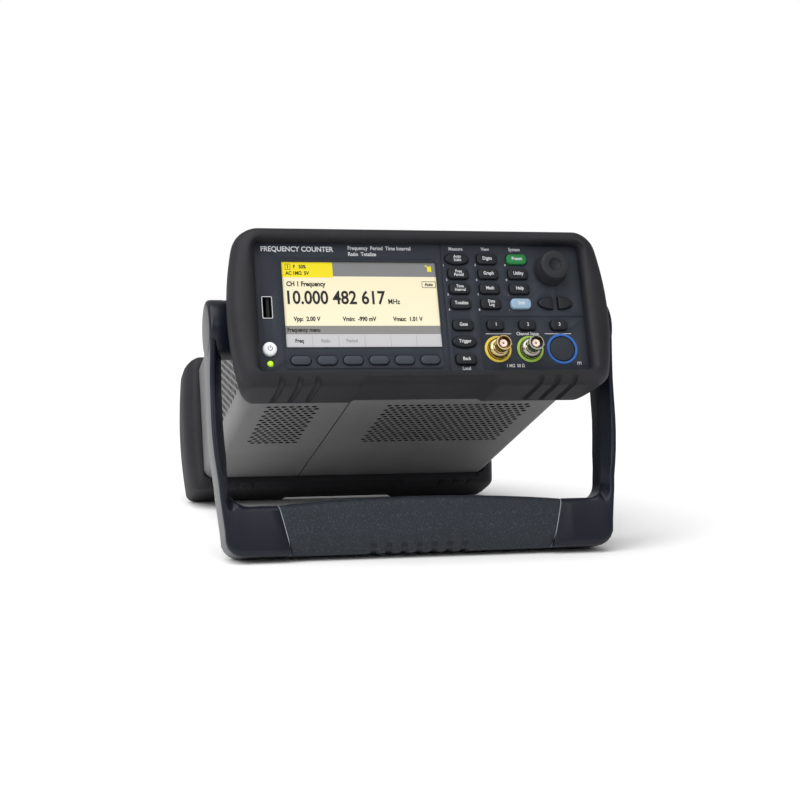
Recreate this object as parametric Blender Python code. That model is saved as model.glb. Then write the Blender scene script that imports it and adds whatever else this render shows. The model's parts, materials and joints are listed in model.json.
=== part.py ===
"""Bench frequency counter on its carrying handle, built as an assembly of separate pieces.

Lengths here are millimetres in the cabinet's own frame: X to the right, Y to the back, Z up,
with the origin on the front panel's face at the middle of the cabinet. The cabinet's empty turns that
frame so that the counter stands on its handle and its rear bumper, with the floor at Z = 0.
"""

import math

import bmesh
import bpy
from mathutils import Matrix, Vector

MM = 0.001
GAP = 0.3  # between pieces that touch
CUTTER_OVERRUN = 1.0

# Cabinet
CABINET_WIDTH = 212.8
CABINET_HEIGHT = 88.3
CABINET_RADIUS = 7.0
COVER_THICKNESS = 1.0
COVER_FRONT = 6.0
COVER_REAR = 256.0
SEAM_X = -37.0
SEAM_WIDTH = 0.5
PANEL_THICKNESS = 3.0
PANEL_SKIRT_END = 20.0
REAR_PANEL_BACK = 262.0

# Bumpers
BUMPER_HALF_WIDTH = 121.2
BUMPER_TOP = 49.4
BUMPER_BOTTOM = 51.9
BUMPER_BOW = 6.5
FOOT_INNER_X = 43.0
FOOT_STEP = 1.5
FRONT_BUMPER_REAR = 38.0
REAR_BUMPER_FRONT = 246.0
REAR_BUMPER_BACK = 294.0

# Handle, in the pivot's own frame, which leans back from straight down
PIVOT_Y = 35.0
PIVOT_Z = -4.0
HANDLE_LEAN = 7.2
HUB_RADIUS = 18.7
PIVOT_PIN_RADIUS = 6.0
HANDLE_HALF_WIDTH = 130.55
ARM_THICKNESS = 8.0
ARM_HALF_DEPTH = 12.0
ARM_STRAIGHT = 58.0
BAR_HALF_WIDTH = 124.2
BAR_TOP = 110.5
BAR_BOTTOM = 141.4
BAR_FRONT = -10.0
BAR_REAR = 15.0
BAR_CHAMFER = (5.0, 9.0)
BAR_EDGE = 4.0
BAR_CORNER = 11.0
INNER_FILLET = 8.0
GRIP_HALF_LENGTH = 87.0
GRIP_SLANT = 3.7
GRIP_DEPTH = 2.4
GRIP_SWELL = 4.0

# Front panel layout: (x, z) on the panel's face
SCREEN_CENTRE = (-38.3, 0.5)
SCREEN_SIZE = (97.6, 55.1)
KEY_FIRST = (24.3, 30.5)
KEY_PITCH = (19.5, 9.9)
KEY_SIZE = (13.0, 6.6)
OVAL_KEY_SIZE = (15.4, 7.4)
CHANNEL_KEY_FIRST_X = 45.3
CHANNEL_KEY_PITCH = 20.8
CHANNEL_KEY_Z = -13.3
TRIGGER_KEY_Z = -24.2
CHANNEL_KEY_SIZE = (10.8, 6.2)
SOFTKEY_FIRST_X = -78.9
SOFTKEY_PITCH = 16.1
SOFTKEY_Z = -35.6
SOFTKEY_SIZE = (12.2, 5.7)
ARROW_KEY_X = (79.5, 92.6)
ARROW_KEY_Z = 1.4
ARROW_KEY_SIZE = (9.3, 8.2)
KEY_HEIGHT = 2.0
SOFTKEY_HEIGHT = 1.2
FLANGE = 1.0
KNOB_CENTRE = (85.0, 23.3)
KNOB_FRONT_RADIUS = 9.3
KNOB_BASE_RADIUS = 10.5
KNOB_LENGTH = 12.4
CONNECTOR_FIRST_X = 45.8
CONNECTOR_PITCH = 21.0
CONNECTOR_Z = -28.6
CONNECTOR_LENGTH = 13.0
BLANK_RADIUS = 8.0
LEFT_COLUMN_X = -97.5
USB_Z = -1.7
POWER_Z = -28.3
LED_Z = -37.2

# Rear panel layout
FAN_CENTRE = (-62.0, 0.0)
FAN_SIZE = 60.0
FAN_BORE_RADIUS = 28.0
FAN_FRONT = 244.0
FAN_DEPTH = 15.0
FAN_BLADES = 7
FAN_BLADE_PITCH = math.radians(38)
INLET_CENTRE = (74.0, -8.0)
REAR_CONNECTOR_FIRST_X = -18.0
REAR_CONNECTOR_PITCH = 18.0
REAR_CONNECTOR_Z = -26.0
JACK_CENTRE = (6.0, 12.0)
REAR_SCREW_X = 97.0
REAR_SCREW_Z = 30.0

COLOURS = {  # name: (colour, roughness, metallic)
    "bumper_rubber": ((0.045, 0.045, 0.05), 0.75, 0.0),
    "panel_plastic": ((0.035, 0.043, 0.06), 0.55, 0.0),
    "key_dark": ((0.02, 0.022, 0.028), 0.6, 0.0),
    "softkey_grey": ((0.07, 0.085, 0.105), 0.55, 0.0),
    "key_green": ((0.03, 0.3, 0.07), 0.5, 0.0),
    "key_blue": ((0.3, 0.45, 0.58), 0.5, 0.0),
    "power_white": ((0.8, 0.8, 0.82), 0.4, 0.0),
    "cover_paint": ((0.17, 0.165, 0.17), 0.6, 0.0),
    "handle_plastic": ((0.014, 0.017, 0.028), 0.35, 0.0),
    "grip_texture": ((0.03, 0.037, 0.046), 0.7, 0.0),
    "screen_glass": ((0.9, 0.9, 0.85), 0.1, 0.0),
    "display_black": ((0.02, 0.02, 0.02), 0.5, 0.0),
    "mat_silicone": ((0.05, 0.05, 0.055), 0.8, 0.0),
    "board_green": ((0.02, 0.12, 0.05), 0.5, 0.0),
    "chassis_steel": ((0.6, 0.61, 0.62), 0.35, 1.0),
    "connector_plating": ((0.75, 0.68, 0.5), 0.25, 1.0),
    "insulator_white": ((0.85, 0.78, 0.72), 0.5, 0.0),
    "led_green": ((0.35, 0.7, 0.05), 0.3, 0.0),
    "black_plastic": ((0.02, 0.02, 0.022), 0.5, 0.0),
}


# Shared tools


def clear_scene():
    for thing in list(bpy.data.objects):
        bpy.data.objects.remove(thing, do_unlink=True)


def material(name):
    found = bpy.data.materials.get(name)
    if found:
        return found
    colour, roughness, metallic = COLOURS[name]
    made = bpy.data.materials.new(name)
    made.use_nodes = True
    shader = made.node_tree.nodes["Principled BSDF"]
    shader.inputs["Base Color"].default_value = (*colour, 1.0)
    shader.inputs["Roughness"].default_value = roughness
    shader.inputs["Metallic"].default_value = metallic
    made.diffuse_color = (*colour, 1.0)
    return made


def finish_mesh(shape, name):
    """A mesh in metres from a bmesh in millimetres, which it frees."""
    bmesh.ops.remove_doubles(shape, verts=shape.verts, dist=0.001)
    bmesh.ops.recalc_face_normals(shape, faces=shape.faces)
    bmesh.ops.scale(shape, vec=(MM, MM, MM), verts=shape.verts)
    mesh = bpy.data.meshes.new(name)
    shape.to_mesh(mesh)
    shape.free()
    return mesh


def add_piece(name, shape, finish, parent, place=(0.0, 0.0, 0.0), smooth=30):
    """An object from a bmesh in millimetres, placed at a point of its parent's frame."""
    mesh = finish_mesh(shape, name)
    mesh.materials.append(material(finish))
    if smooth:
        mesh.shade_smooth()
        mesh.set_sharp_from_angle(angle=math.radians(smooth))
    piece = bpy.data.objects.new(name, mesh)
    bpy.context.scene.collection.objects.link(piece)
    piece.parent = parent
    piece.location = Vector(place) * MM
    return piece


def add_cutter(name, shape, parent, place=(0.0, 0.0, 0.0)):
    cutter = bpy.data.objects.new(name, finish_mesh(shape, name))
    bpy.context.scene.collection.objects.link(cutter)
    cutter.parent = parent
    cutter.location = Vector(place) * MM
    cutter.hide_render = True
    cutter.display_type = "WIRE"
    return cutter


def boolean(piece, tool, operation="DIFFERENCE"):
    modifier = piece.modifiers.new(operation.lower() + "_" + tool.name, "BOOLEAN")
    modifier.operation = operation
    modifier.object = tool


def arc(centre, radius, start, end, steps):
    """Points on an arc, with angles in degrees."""
    found = []
    for step in range(steps + 1):
        angle = math.radians(start + (end - start) * step / steps)
        found.append((centre[0] + radius * math.cos(angle), centre[1] + radius * math.sin(angle)))
    return found


def rounded_rectangle(width, height, radius, centre=(0.0, 0.0), steps=4):
    """An anticlockwise outline of a rectangle with round corners."""
    across = width / 2 - radius
    up = height / 2 - radius
    found = []
    for quarter, (side, level) in enumerate(((1, 1), (-1, 1), (-1, -1), (1, -1))):
        corner = (centre[0] + side * across, centre[1] + level * up)
        found += arc(corner, radius, 90 * quarter, 90 * (quarter + 1), steps)
    return found


def ellipse(width, height, centre=(0.0, 0.0), steps=24):
    found = []
    for step in range(steps):
        angle = 2 * math.pi * step / steps
        found.append((centre[0] + width / 2 * math.cos(angle), centre[1] + height / 2 * math.sin(angle)))
    return found


def circle(radius, centre=(0.0, 0.0), steps=24):
    return ellipse(2 * radius, 2 * radius, centre, steps)


def distinct(points, least=0.01):
    """The outline without points that repeat their neighbour."""
    found = []
    for point in points:
        if not found or math.dist(point, found[-1]) > least:
            found.append(point)
    if math.dist(found[0], found[-1]) <= least:
        found.pop()
    return found


PLANES = {
    "XZ": lambda point, depth: (point[0], depth, point[1]),
    "YZ": lambda point, depth: (depth, point[0], point[1]),
    "XY": lambda point, depth: (point[0], point[1], depth),
}


def prism(shape, outline, plane, start, end):
    """Adds a straight prism over an outline in a plane, between two depths."""
    place = PLANES[plane]
    corners = [shape.verts.new(place(point, start)) for point in distinct(outline)]
    face = shape.faces.new(corners)
    grown = bmesh.ops.extrude_face_region(shape, geom=[face])
    moved = [item for item in grown["geom"] if isinstance(item, bmesh.types.BMVert)]
    bmesh.ops.translate(shape, vec=Vector(place((0.0, 0.0), end - start)), verts=moved)
    return shape


def box(shape, low, high):
    outline = [(low[0], low[1]), (high[0], low[1]), (high[0], high[1]), (low[0], high[1])]
    return prism(shape, outline, "XY", low[2], high[2])


def loft(shape, rings, closed):
    """Joins rings of equal length with quads.

    A closed loft runs back to its first ring, and an open one is capped.
    """
    rows = [[shape.verts.new(point) for point in ring] for ring in rings]
    count = len(rows[0])
    pairs = list(zip(rows, rows[1:]))
    if closed:
        pairs.append((rows[-1], rows[0]))
    for first, second in pairs:
        for index in range(count):
            following = (index + 1) % count
            shape.faces.new((first[index], first[following], second[following], second[index]))
    if not closed:
        shape.faces.new(rows[0])
        shape.faces.new(list(reversed(rows[-1])))
    return shape


def turned(shape, profile, centre, steps=24):
    """A profile of (radius, y) points turned about an axis along Y through centre (x, z)."""
    corners = [shape.verts.new((centre[0] + radius, y, centre[1])) for radius, y in profile]
    edges = [shape.edges.new(pair) for pair in zip(corners, corners[1:])]
    if profile[0][0] > 0 or profile[-1][0] > 0:
        edges.append(shape.edges.new((corners[-1], corners[0])))
    bmesh.ops.spin(
        shape,
        geom=corners + edges,
        cent=(centre[0], 0, centre[1]),
        axis=(0, 1, 0),
        angle=2 * math.pi,
        steps=steps,
        use_merge=True,
    )
    return shape


def along_y(outline, y):
    return [(x, y, z) for x, z in outline]


# Cabinet shells


def add_cup(name, finish, parent, steps_of_ring):
    """A shell with a floor: rings of (half width, half height, radius, y), capped at both ends."""
    rings = []
    for half_width, half_height, radius, y in steps_of_ring:
        rings.append(along_y(rounded_rectangle(2 * half_width, 2 * half_height, radius, steps=5), y))
    return add_piece(name, loft(bmesh.new(), rings, closed=False), finish, parent)


def panel_rings(face, plate, flange, end):
    """The rings of a bezel whose face is at one y and whose skirt slides inside the cover to another."""
    half_width = CABINET_WIDTH / 2
    half_height = CABINET_HEIGHT / 2
    inset = COVER_THICKNESS + GAP
    wall = inset + 2.2
    return [
        (half_width, half_height, CABINET_RADIUS, face),
        (half_width, half_height, CABINET_RADIUS, flange),
        (half_width - inset, half_height - inset, CABINET_RADIUS - inset, flange),
        (half_width - inset, half_height - inset, CABINET_RADIUS - inset, end),
        (half_width - wall, half_height - wall, CABINET_RADIUS - wall, end),
        (half_width - wall, half_height - wall, CABINET_RADIUS - wall, plate),
    ]


def add_cover(cabinet):
    outer = rounded_rectangle(CABINET_WIDTH, CABINET_HEIGHT, CABINET_RADIUS, steps=5)
    inner = rounded_rectangle(
        CABINET_WIDTH - 2 * COVER_THICKNESS,
        CABINET_HEIGHT - 2 * COVER_THICKNESS,
        CABINET_RADIUS - COVER_THICKNESS,
        steps=5,
    )
    rings = [
        along_y(outer, COVER_FRONT),
        along_y(outer, COVER_REAR),
        along_y(inner, COVER_REAR),
        along_y(inner, COVER_FRONT),
    ]
    cover = add_piece("cover", loft(bmesh.new(), rings, closed=True), "cover_paint", cabinet)
    half_seam = SEAM_WIDTH / 2
    low = (SEAM_X - half_seam, COVER_FRONT - CUTTER_OVERRUN, -CABINET_HEIGHT / 2 - CUTTER_OVERRUN)
    high = (SEAM_X + half_seam, COVER_REAR + CUTTER_OVERRUN, -CABINET_HEIGHT / 2 + 2 * CUTTER_OVERRUN)
    boolean(cover, add_cutter("cover_seam", box(bmesh.new(), low, high), cabinet))
    return cover


def add_chassis(cabinet):
    """A bent steel tray whose side walls carry the handle's pins."""
    outside = CABINET_WIDTH / 2 - COVER_THICKNESS - 0.8
    bottom = -CABINET_HEIGHT / 2 + COVER_THICKNESS + 0.6
    wall_top = 22.0
    thick = 1.0
    bend = 5.6
    outer = [(outside, wall_top)] + arc((outside - bend, bottom + bend), bend, 0, -90, 4)
    inner = [(outside - thick, wall_top)] + arc((outside - bend, bottom + bend), bend - thick, 0, -90, 4)
    left_outer = [(-x, z) for x, z in reversed(outer)]
    left_inner = [(-x, z) for x, z in inner]
    outline = outer + left_outer + left_inner + list(reversed(inner))
    shape = prism(bmesh.new(), outline, "XZ", PANEL_SKIRT_END + 2, 241.0)
    return add_piece("chassis", shape, "chassis_steel", cabinet)


def bumper_outline(inset, top, bottom, radius, bow):
    """Half the outline is mirrored: straight runs with points where the feet step, and bowed sides."""
    half_width = BUMPER_HALF_WIDTH - inset
    corner_top = arc((half_width - radius, top - radius), radius, 90, 0, 5)
    corner_bottom = arc((half_width - radius, -bottom + radius), radius, 0, -90, 5)
    side = []
    for step in range(1, 6):
        share = step / 6
        side.append((half_width, (top - radius) * (1 - share) + (-bottom + radius) * share))
    foot = [(FOOT_INNER_X + 1.5, -bottom), (FOOT_INNER_X - 1.5, -bottom)]
    right = [(FOOT_INNER_X, top), *corner_top, *side, *corner_bottom, *foot]
    whole = right + [(-x, z) for x, z in reversed(right)]
    middle = (top - bottom) / 2 - 3
    reach = (top + bottom) / 2
    found = []
    for x, z in whole:
        pulled = math.copysign(bow * ((z - middle) / reach) ** 2, x) if abs(x) > FOOT_INNER_X + 2 else 0.0
        raised = FOOT_STEP if z < 0 and abs(x) < FOOT_INNER_X and bow else 0.0
        found.append((x - pulled * abs(x) / half_width, z + raised))
    return found


def add_bumper(name, cabinet, profile):
    """A rubber ring: each profile row is (inset, top, bottom, corner radius, bow, y)."""
    rings = []
    for inset, top, bottom, radius, bow, y in profile:
        rings.append(along_y(bumper_outline(inset, top, bottom, radius, bow), y))
    return add_piece(name, loft(bmesh.new(), rings, closed=True), "bumper_rubber", cabinet, smooth=40)


def add_front_bumper(cabinet):
    seat = BUMPER_HALF_WIDTH - CABINET_WIDTH / 2 - GAP
    seat_height = CABINET_HEIGHT / 2 + GAP
    top, bottom, bow = BUMPER_TOP, BUMPER_BOTTOM, BUMPER_BOW
    rear = FRONT_BUMPER_REAR
    opening = 104.4
    opening_height = 40.1
    profile = [
        (seat, seat_height, seat_height, CABINET_RADIUS, 0.0, rear),
        (10.5, top - 1.6, bottom - 1.6, 9.0, bow * 0.5, rear),
        (9.2, top - 0.5, bottom - 0.4, 10.0, bow * 0.6, rear - 1.6),
        (5.0, top, bottom, 12.0, bow * 0.8, rear - 10),
        (1.6, top, bottom, 14.0, bow, rear - 21),
        (0.0, top, bottom, 15.0, bow, 6.0),
        (0.6, top - 0.3, bottom - 0.4, 15.0, bow, -1.0),
        (2.8, top - 1.5, bottom - 2.0, 14.0, bow, -5.0),
        (6.5, top - 4.0, bottom - 4.8, 12.0, bow * 0.8, -7.6),
        (11.0, top - 6.5, bottom - 7.6, 9.0, bow * 0.4, -8.2),
        (15.0, opening_height + 1.0, opening_height + 1.2, 5.0, 0.0, -7.2),
        (BUMPER_HALF_WIDTH - opening - 0.4, opening_height + 0.3, opening_height + 0.4, 4.0, 0.0, -5.6),
        (BUMPER_HALF_WIDTH - opening, opening_height, opening_height, 3.6, 0.0, -GAP),
        (seat, seat_height, seat_height, CABINET_RADIUS, 0.0, -GAP),
    ]
    return add_bumper("front_bumper", cabinet, profile)


def add_rear_bumper(cabinet):
    seat = BUMPER_HALF_WIDTH - CABINET_WIDTH / 2 - GAP
    seat_height = CABINET_HEIGHT / 2 + GAP
    top, bottom, bow = BUMPER_TOP, BUMPER_BOTTOM, BUMPER_BOW
    front, back = REAR_BUMPER_FRONT, REAR_BUMPER_BACK
    stop = REAR_PANEL_BACK + GAP
    profile = [
        (seat, seat_height, seat_height, CABINET_RADIUS, 0.0, front),
        (seat, seat_height, seat_height, CABINET_RADIUS, 0.0, stop),
        (19.0, 40.4, 40.4, 5.0, 0.0, stop),
        (17.5, 41.4, 42.0, 6.0, 0.0, back - 5),
        (14.5, 43.2, 44.0, 7.0, bow * 0.4, back),
        (8.6, top - 3.8, bottom - 3.6, 8.5, bow * 0.6, back),
        (5.6, top - 1.2, bottom - 1.0, 10.0, bow * 0.7, back - 2.2),
        (3.8, top, bottom, 11.0, bow * 0.7, back - 5),
        (2.7, top, bottom, 11.5, bow * 0.7, back - 16),
        (2.7, top, bottom, 11.5, bow * 0.7, front + 14),
        (6.0, top, bottom, 10.0, bow * 0.6, front + 6),
        (9.2, top - 0.5, bottom - 0.4, 9.0, bow * 0.4, front + 1.6),
        (10.5, top - 1.6, bottom - 1.6, 8.5, bow * 0.3, front),
    ]
    return add_bumper("rear_bumper", cabinet, profile)


# Front panel and what it carries


def key_list():
    """Every key: name, outline kind, centre, size, height, finish."""
    found = []
    names = (
        ("auto_scale_key", "frequency_key", "time_interval_key", "totalize_key"),
        ("digits_key", "graph_key", "math_key", "data_log_key"),
        ("preset_key", "utility_key", "help_key", "shift_key"),
    )
    for column, column_names in enumerate(names):
        for row, name in enumerate(column_names):
            centre = (KEY_FIRST[0] + column * KEY_PITCH[0], KEY_FIRST[1] - row * KEY_PITCH[1])
            oval = name == "auto_scale_key"
            finish = {"preset_key": "key_green", "shift_key": "key_blue"}.get(name, "key_dark")
            size = OVAL_KEY_SIZE if oval else KEY_SIZE
            found.append((name, "oval" if oval else "tablet", centre, size, KEY_HEIGHT, finish))
    below = (
        ("gate_key", "tablet", CHANNEL_KEY_Z),
        ("trigger_key", "oval", TRIGGER_KEY_Z),
        ("back_key", "tablet", SOFTKEY_Z),
    )
    for name, kind, level in below:
        size = OVAL_KEY_SIZE if kind == "oval" else KEY_SIZE
        found.append((name, kind, (KEY_FIRST[0], level), size, KEY_HEIGHT, "key_dark"))
    for index in range(3):
        centre = (CHANNEL_KEY_FIRST_X + index * CHANNEL_KEY_PITCH, CHANNEL_KEY_Z)
        name = f"channel_{index + 1}_key"
        found.append((name, "tablet", centre, CHANNEL_KEY_SIZE, KEY_HEIGHT, "key_dark"))
    for side, name in enumerate(("left_arrow_key", "right_arrow_key")):
        centre = (ARROW_KEY_X[side], ARROW_KEY_Z)
        kind = "left_half" if side == 0 else "right_half"
        found.append((name, kind, centre, ARROW_KEY_SIZE, KEY_HEIGHT, "key_dark"))
    for index in range(6):
        centre = (SOFTKEY_FIRST_X + index * SOFTKEY_PITCH, SOFTKEY_Z)
        name = f"softkey_{index + 1}"
        found.append((name, "stadium", centre, SOFTKEY_SIZE, SOFTKEY_HEIGHT, "softkey_grey"))
    return found


def key_outline(kind, centre, size, grow=0.0):
    """The key's outline in the panel's plane, grown all round."""
    width, height = size[0] + 2 * grow, size[1] + 2 * grow
    if kind == "oval":
        return ellipse(width, height, centre, steps=16)
    if kind == "tablet":
        return rounded_rectangle(width, height, 2.3 + grow, centre, steps=2)
    if kind == "stadium":
        return rounded_rectangle(width, height, height / 2 - 0.01, centre, steps=3)
    side = -1 if kind == "left_half" else 1
    flat = centre[0] - side * width / 2
    curve = arc((0.0, 0.0), 1.0, -90, 90, 10)
    return [(flat + side * width * across, centre[1] + height / 2 * up) for across, up in curve]


def add_front_panel(cabinet):
    panel = add_cup(
        "front_panel",
        "panel_plastic",
        cabinet,
        panel_rings(0.0, PANEL_THICKNESS, COVER_FRONT - GAP, PANEL_SKIRT_END),
    )
    openings = bmesh.new()
    front, back = -CUTTER_OVERRUN, PANEL_THICKNESS + CUTTER_OVERRUN
    for _, kind, centre, size, _, _ in key_list():
        prism(openings, key_outline(kind, centre, size, grow=0.35), "XZ", front, back)
    screen = rounded_rectangle(SCREEN_SIZE[0] + 1.0, SCREEN_SIZE[1] + 1.0, 0.8, SCREEN_CENTRE, steps=2)
    prism(openings, screen, "XZ", front, back)
    usb = rounded_rectangle(6.6, 14.4, 0.8, (LEFT_COLUMN_X, USB_Z), steps=2)
    prism(openings, usb, "XZ", front, back)
    rounds = (
        ((LEFT_COLUMN_X, POWER_Z), 4.8),
        ((LEFT_COLUMN_X, LED_Z), 2.1),
        (KNOB_CENTRE, 4.8),
        ((CONNECTOR_FIRST_X, CONNECTOR_Z), 6.4),
        ((CONNECTOR_FIRST_X + CONNECTOR_PITCH, CONNECTOR_Z), 6.4),
        ((CONNECTOR_FIRST_X + 2 * CONNECTOR_PITCH, CONNECTOR_Z), BLANK_RADIUS + GAP),
    )
    for centre, radius in rounds:
        prism(openings, circle(radius, centre, steps=20), "XZ", front, back)
    boolean(panel, add_cutter("panel_openings", openings, cabinet))
    return panel


def add_key(name, kind, centre, size, height, finish, parent):
    """A cap that stands through the panel, with a flange behind it. Its origin is its own centre."""
    outline = key_outline(kind, (0.0, 0.0), size)
    flange = key_outline(kind, (0.0, 0.0), size, grow=FLANGE)
    crown = key_outline(kind, (0.0, 0.0), size, grow=-0.5)
    back = PANEL_THICKNESS + GAP
    rings = [
        along_y(crown, -height),
        along_y(outline, -height + 0.5),
        along_y(outline, back),
        along_y(flange, back),
        along_y(flange, back + 1.0),
    ]
    shape = loft(bmesh.new(), rings, closed=False)
    return add_piece(name, shape, finish, parent, place=(centre[0], 0.0, centre[1]))


def add_power_button(cabinet):
    profile = [(0, -1.8), (3.9, -1.8), (4.4, -1.3), (4.4, 3.3), (5.0, 3.3), (5.0, 4.3), (0, 4.3)]
    shape = turned(bmesh.new(), profile, (0.0, 0.0), steps=20)
    return add_piece("power_button", shape, "power_white", cabinet, place=(LEFT_COLUMN_X, 0.0, POWER_Z))


def add_knob(cabinet):
    """The knob and its shaft turn together inside the encoder's bush."""
    front = -KNOB_LENGTH
    profile = [
        (0, front + 1.4),
        (2.4, front + 1.1),
        (3.9, front + 0.2),
        (4.6, front),
        (KNOB_FRONT_RADIUS - 1.0, front),
        (KNOB_FRONT_RADIUS, front + 0.9),
        (KNOB_BASE_RADIUS, -2.4),
        (KNOB_BASE_RADIUS, -0.9),
        (3.0, -0.9),
        (3.0, 8.0),
        (0, 8.0),
    ]
    shape = turned(bmesh.new(), profile, (0.0, 0.0), steps=24)
    return add_piece("knob", shape, "black_plastic", cabinet, place=(KNOB_CENTRE[0], 0.0, KNOB_CENTRE[1]))


def add_encoder(cabinet):
    """The knob's rotary encoder: a body on the front board, with a bush through the panel."""
    profile = [(3.2, -0.4), (4.4, -0.4), (4.4, 4.2), (7.2, 4.2), (7.2, 6.9), (3.2, 6.9)]
    shape = turned(bmesh.new(), profile, (0.0, 0.0), steps=20)
    return add_piece(
        "rotary_encoder", shape, "chassis_steel", cabinet, place=(KNOB_CENTRE[0], 0.0, KNOB_CENTRE[1])
    )


def add_front_connector(index, cabinet):
    """One channel's socket: a plated shell with two bayonet lugs, and its insulator."""
    place = (CONNECTOR_FIRST_X + index * CONNECTOR_PITCH, 0.0, CONNECTOR_Z)
    tip = -CONNECTOR_LENGTH
    profile = [
        (4.05, tip),
        (4.6, tip),
        (4.85, tip + 0.3),
        (4.85, -4.4),
        (6.6, -3.2),
        (7.3, -1.6),
        (7.3, -GAP),
        (6.1, -GAP),
        (6.1, 9.0),
        (2.75, 9.0),
        (2.75, -4.5),
        (4.05, -4.5),
    ]
    shell = add_piece(
        f"bnc_shell_{index + 1}",
        turned(bmesh.new(), profile, (0.0, 0.0), 18),
        "connector_plating",
        cabinet,
        place,
    )
    lugs = bmesh.new()
    for side in (-1, 1):
        ends = sorted((side * 4.4, side * 5.7))
        prism(lugs, circle(1.0, (tip + 3.4, 0.0), steps=8), "YZ", *ends)
    boolean(shell, add_cutter(f"bnc_lugs_{index + 1}", lugs, cabinet, place), "UNION")
    insulator = [(0, -6.0), (0.75, -6.0), (0.75, tip + 1.4), (2.45, tip + 1.4), (2.45, 10.0), (0, 10.0)]
    add_piece(
        f"bnc_insulator_{index + 1}",
        turned(bmesh.new(), insulator, (0.0, 0.0), steps=12),
        "insulator_white",
        cabinet,
        place,
    )
    return shell


def add_blank(cabinet):
    place = (CONNECTOR_FIRST_X + 2 * CONNECTOR_PITCH, 0.0, CONNECTOR_Z)
    radius = BLANK_RADIUS
    profile = [
        (0, -0.6),
        (radius - 0.4, -0.6),
        (radius, -0.2),
        (radius, 3.3),
        (radius + 1.2, 3.3),
        (radius + 1.2, 4.3),
        (0, 4.3),
    ]
    shape = turned(bmesh.new(), profile, (0.0, 0.0))
    return add_piece("channel_3_blank", shape, "panel_plastic", cabinet, place)


def add_led(cabinet):
    profile = [(0, -0.5), (1.0, -0.3), (1.7, 0.3), (1.7, 3.6), (2.4, 3.6), (2.4, 5.0), (0, 5.0)]
    shape = turned(bmesh.new(), profile, (0.0, 0.0), steps=16)
    return add_piece("status_led", shape, "led_green", cabinet, place=(LEFT_COLUMN_X, 0.0, LED_Z))


def add_usb_port(cabinet):
    """A standing USB socket: a shell open to the front with the contact tongue inside."""
    place = (LEFT_COLUMN_X, 0.0, USB_Z)
    port = add_piece(
        "usb_port",
        prism(bmesh.new(), rounded_rectangle(6.0, 13.8, 0.6, steps=2), "XZ", -0.2, 13.0),
        "black_plastic",
        cabinet,
        place,
    )
    # The room left of the tongue, the room in front of it, and the room right of it
    hollows = ((-2.5, -0.4, -1.2, 9.5), (-2.5, 2.5, -1.2, 1.0), (1.4, 2.5, -1.2, 9.5))
    for index, (left, right, front, back) in enumerate(hollows):
        cutter = box(bmesh.new(), (left, front, -6.4 + 0.01 * index), (right, back, 6.4 - 0.01 * index))
        boolean(port, add_cutter(f"usb_hollow_{index + 1}", cutter, cabinet, place))
    return port


def add_display(cabinet):
    window = rounded_rectangle(SCREEN_SIZE[0] + 0.4, SCREEN_SIZE[1] + 0.4, 0.6, SCREEN_CENTRE, steps=2)
    add_piece(
        "display_window",
        prism(bmesh.new(), window, "XZ", 0.8, PANEL_THICKNESS - 0.1),
        "screen_glass",
        cabinet,
        smooth=0,
    )
    module = rounded_rectangle(105.5, 66.0, 1.0, (SCREEN_CENTRE[0], SCREEN_CENTRE[1] + 2.4), steps=2)
    shape = prism(bmesh.new(), module, "XZ", PANEL_THICKNESS + GAP, PANEL_THICKNESS + GAP + 3.0)
    add_piece("display_module", shape, "display_black", cabinet, smooth=0)


def add_keypad_layers(cabinet):
    """The silicone dome mat under the keys, and the board behind it with room for the connectors."""
    mat = [(-88, -31.6), (-88, -39.8), (34, -39.8), (34, -18.5), (101, -18.5), (101, 11.0), (76.5, 11.0)]
    mat += [(76.5, 37.0), (15.5, 37.0), (15.5, -31.6)]
    add_piece("keypad_mat", prism(bmesh.new(), mat, "XZ", 5.8, 7.0), "mat_silicone", cabinet, smooth=0)
    board = [(-101, -18.5), (-101, -39.6), (34.5, -39.6), (34.5, -17.5), (101, -17.5), (101, 39.4)]
    board += [(-92.5, 39.4), (-92.5, -18.5)]
    add_piece("front_board", prism(bmesh.new(), board, "XZ", 7.3, 8.9), "board_green", cabinet, smooth=0)
    hole = prism(bmesh.new(), circle(4.0, KNOB_CENTRE, steps=16), "XZ", 6.0, 10.0)
    boolean(bpy.data.objects["front_board"], add_cutter("encoder_shaft_hole", hole, cabinet))


# Inside and rear


def add_main_board(cabinet):
    board = add_piece(
        "main_board", box(bmesh.new(), (-97, 24, -37), (97, 230, -35.4)), "board_green", cabinet, smooth=0
    )
    parts = bmesh.new()
    box(parts, (-70, 40, -36), (-30, 80, -33.0))
    box(parts, (-10, 60, -36), (15, 85, -32.5))
    box(parts, (-80, 110, -36), (-55, 150, -20.0))
    box(parts, (-35, 120, -36), (-5, 150, -31.0))
    boolean(board, add_cutter("board_components", parts, cabinet), "UNION")
    return board


def add_power_supply(cabinet):
    supply = add_piece(
        "power_supply", box(bmesh.new(), (32, 108, -31), (96, 226, -29.4)), "board_green", cabinet, smooth=0
    )
    parts = bmesh.new()
    box(parts, (40, 120, -30), (70, 152, -4))
    box(parts, (36, 162, -30), (40, 216, 6))
    prism(parts, circle(11, (82, 138), steps=16), "XY", -30, 2)
    prism(parts, circle(9, (82, 172), steps=16), "XY", -30, -4)
    box(parts, (52, 168, -30), (66, 210, -8))
    boolean(supply, add_cutter("supply_components", parts, cabinet), "UNION")
    return supply


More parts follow.
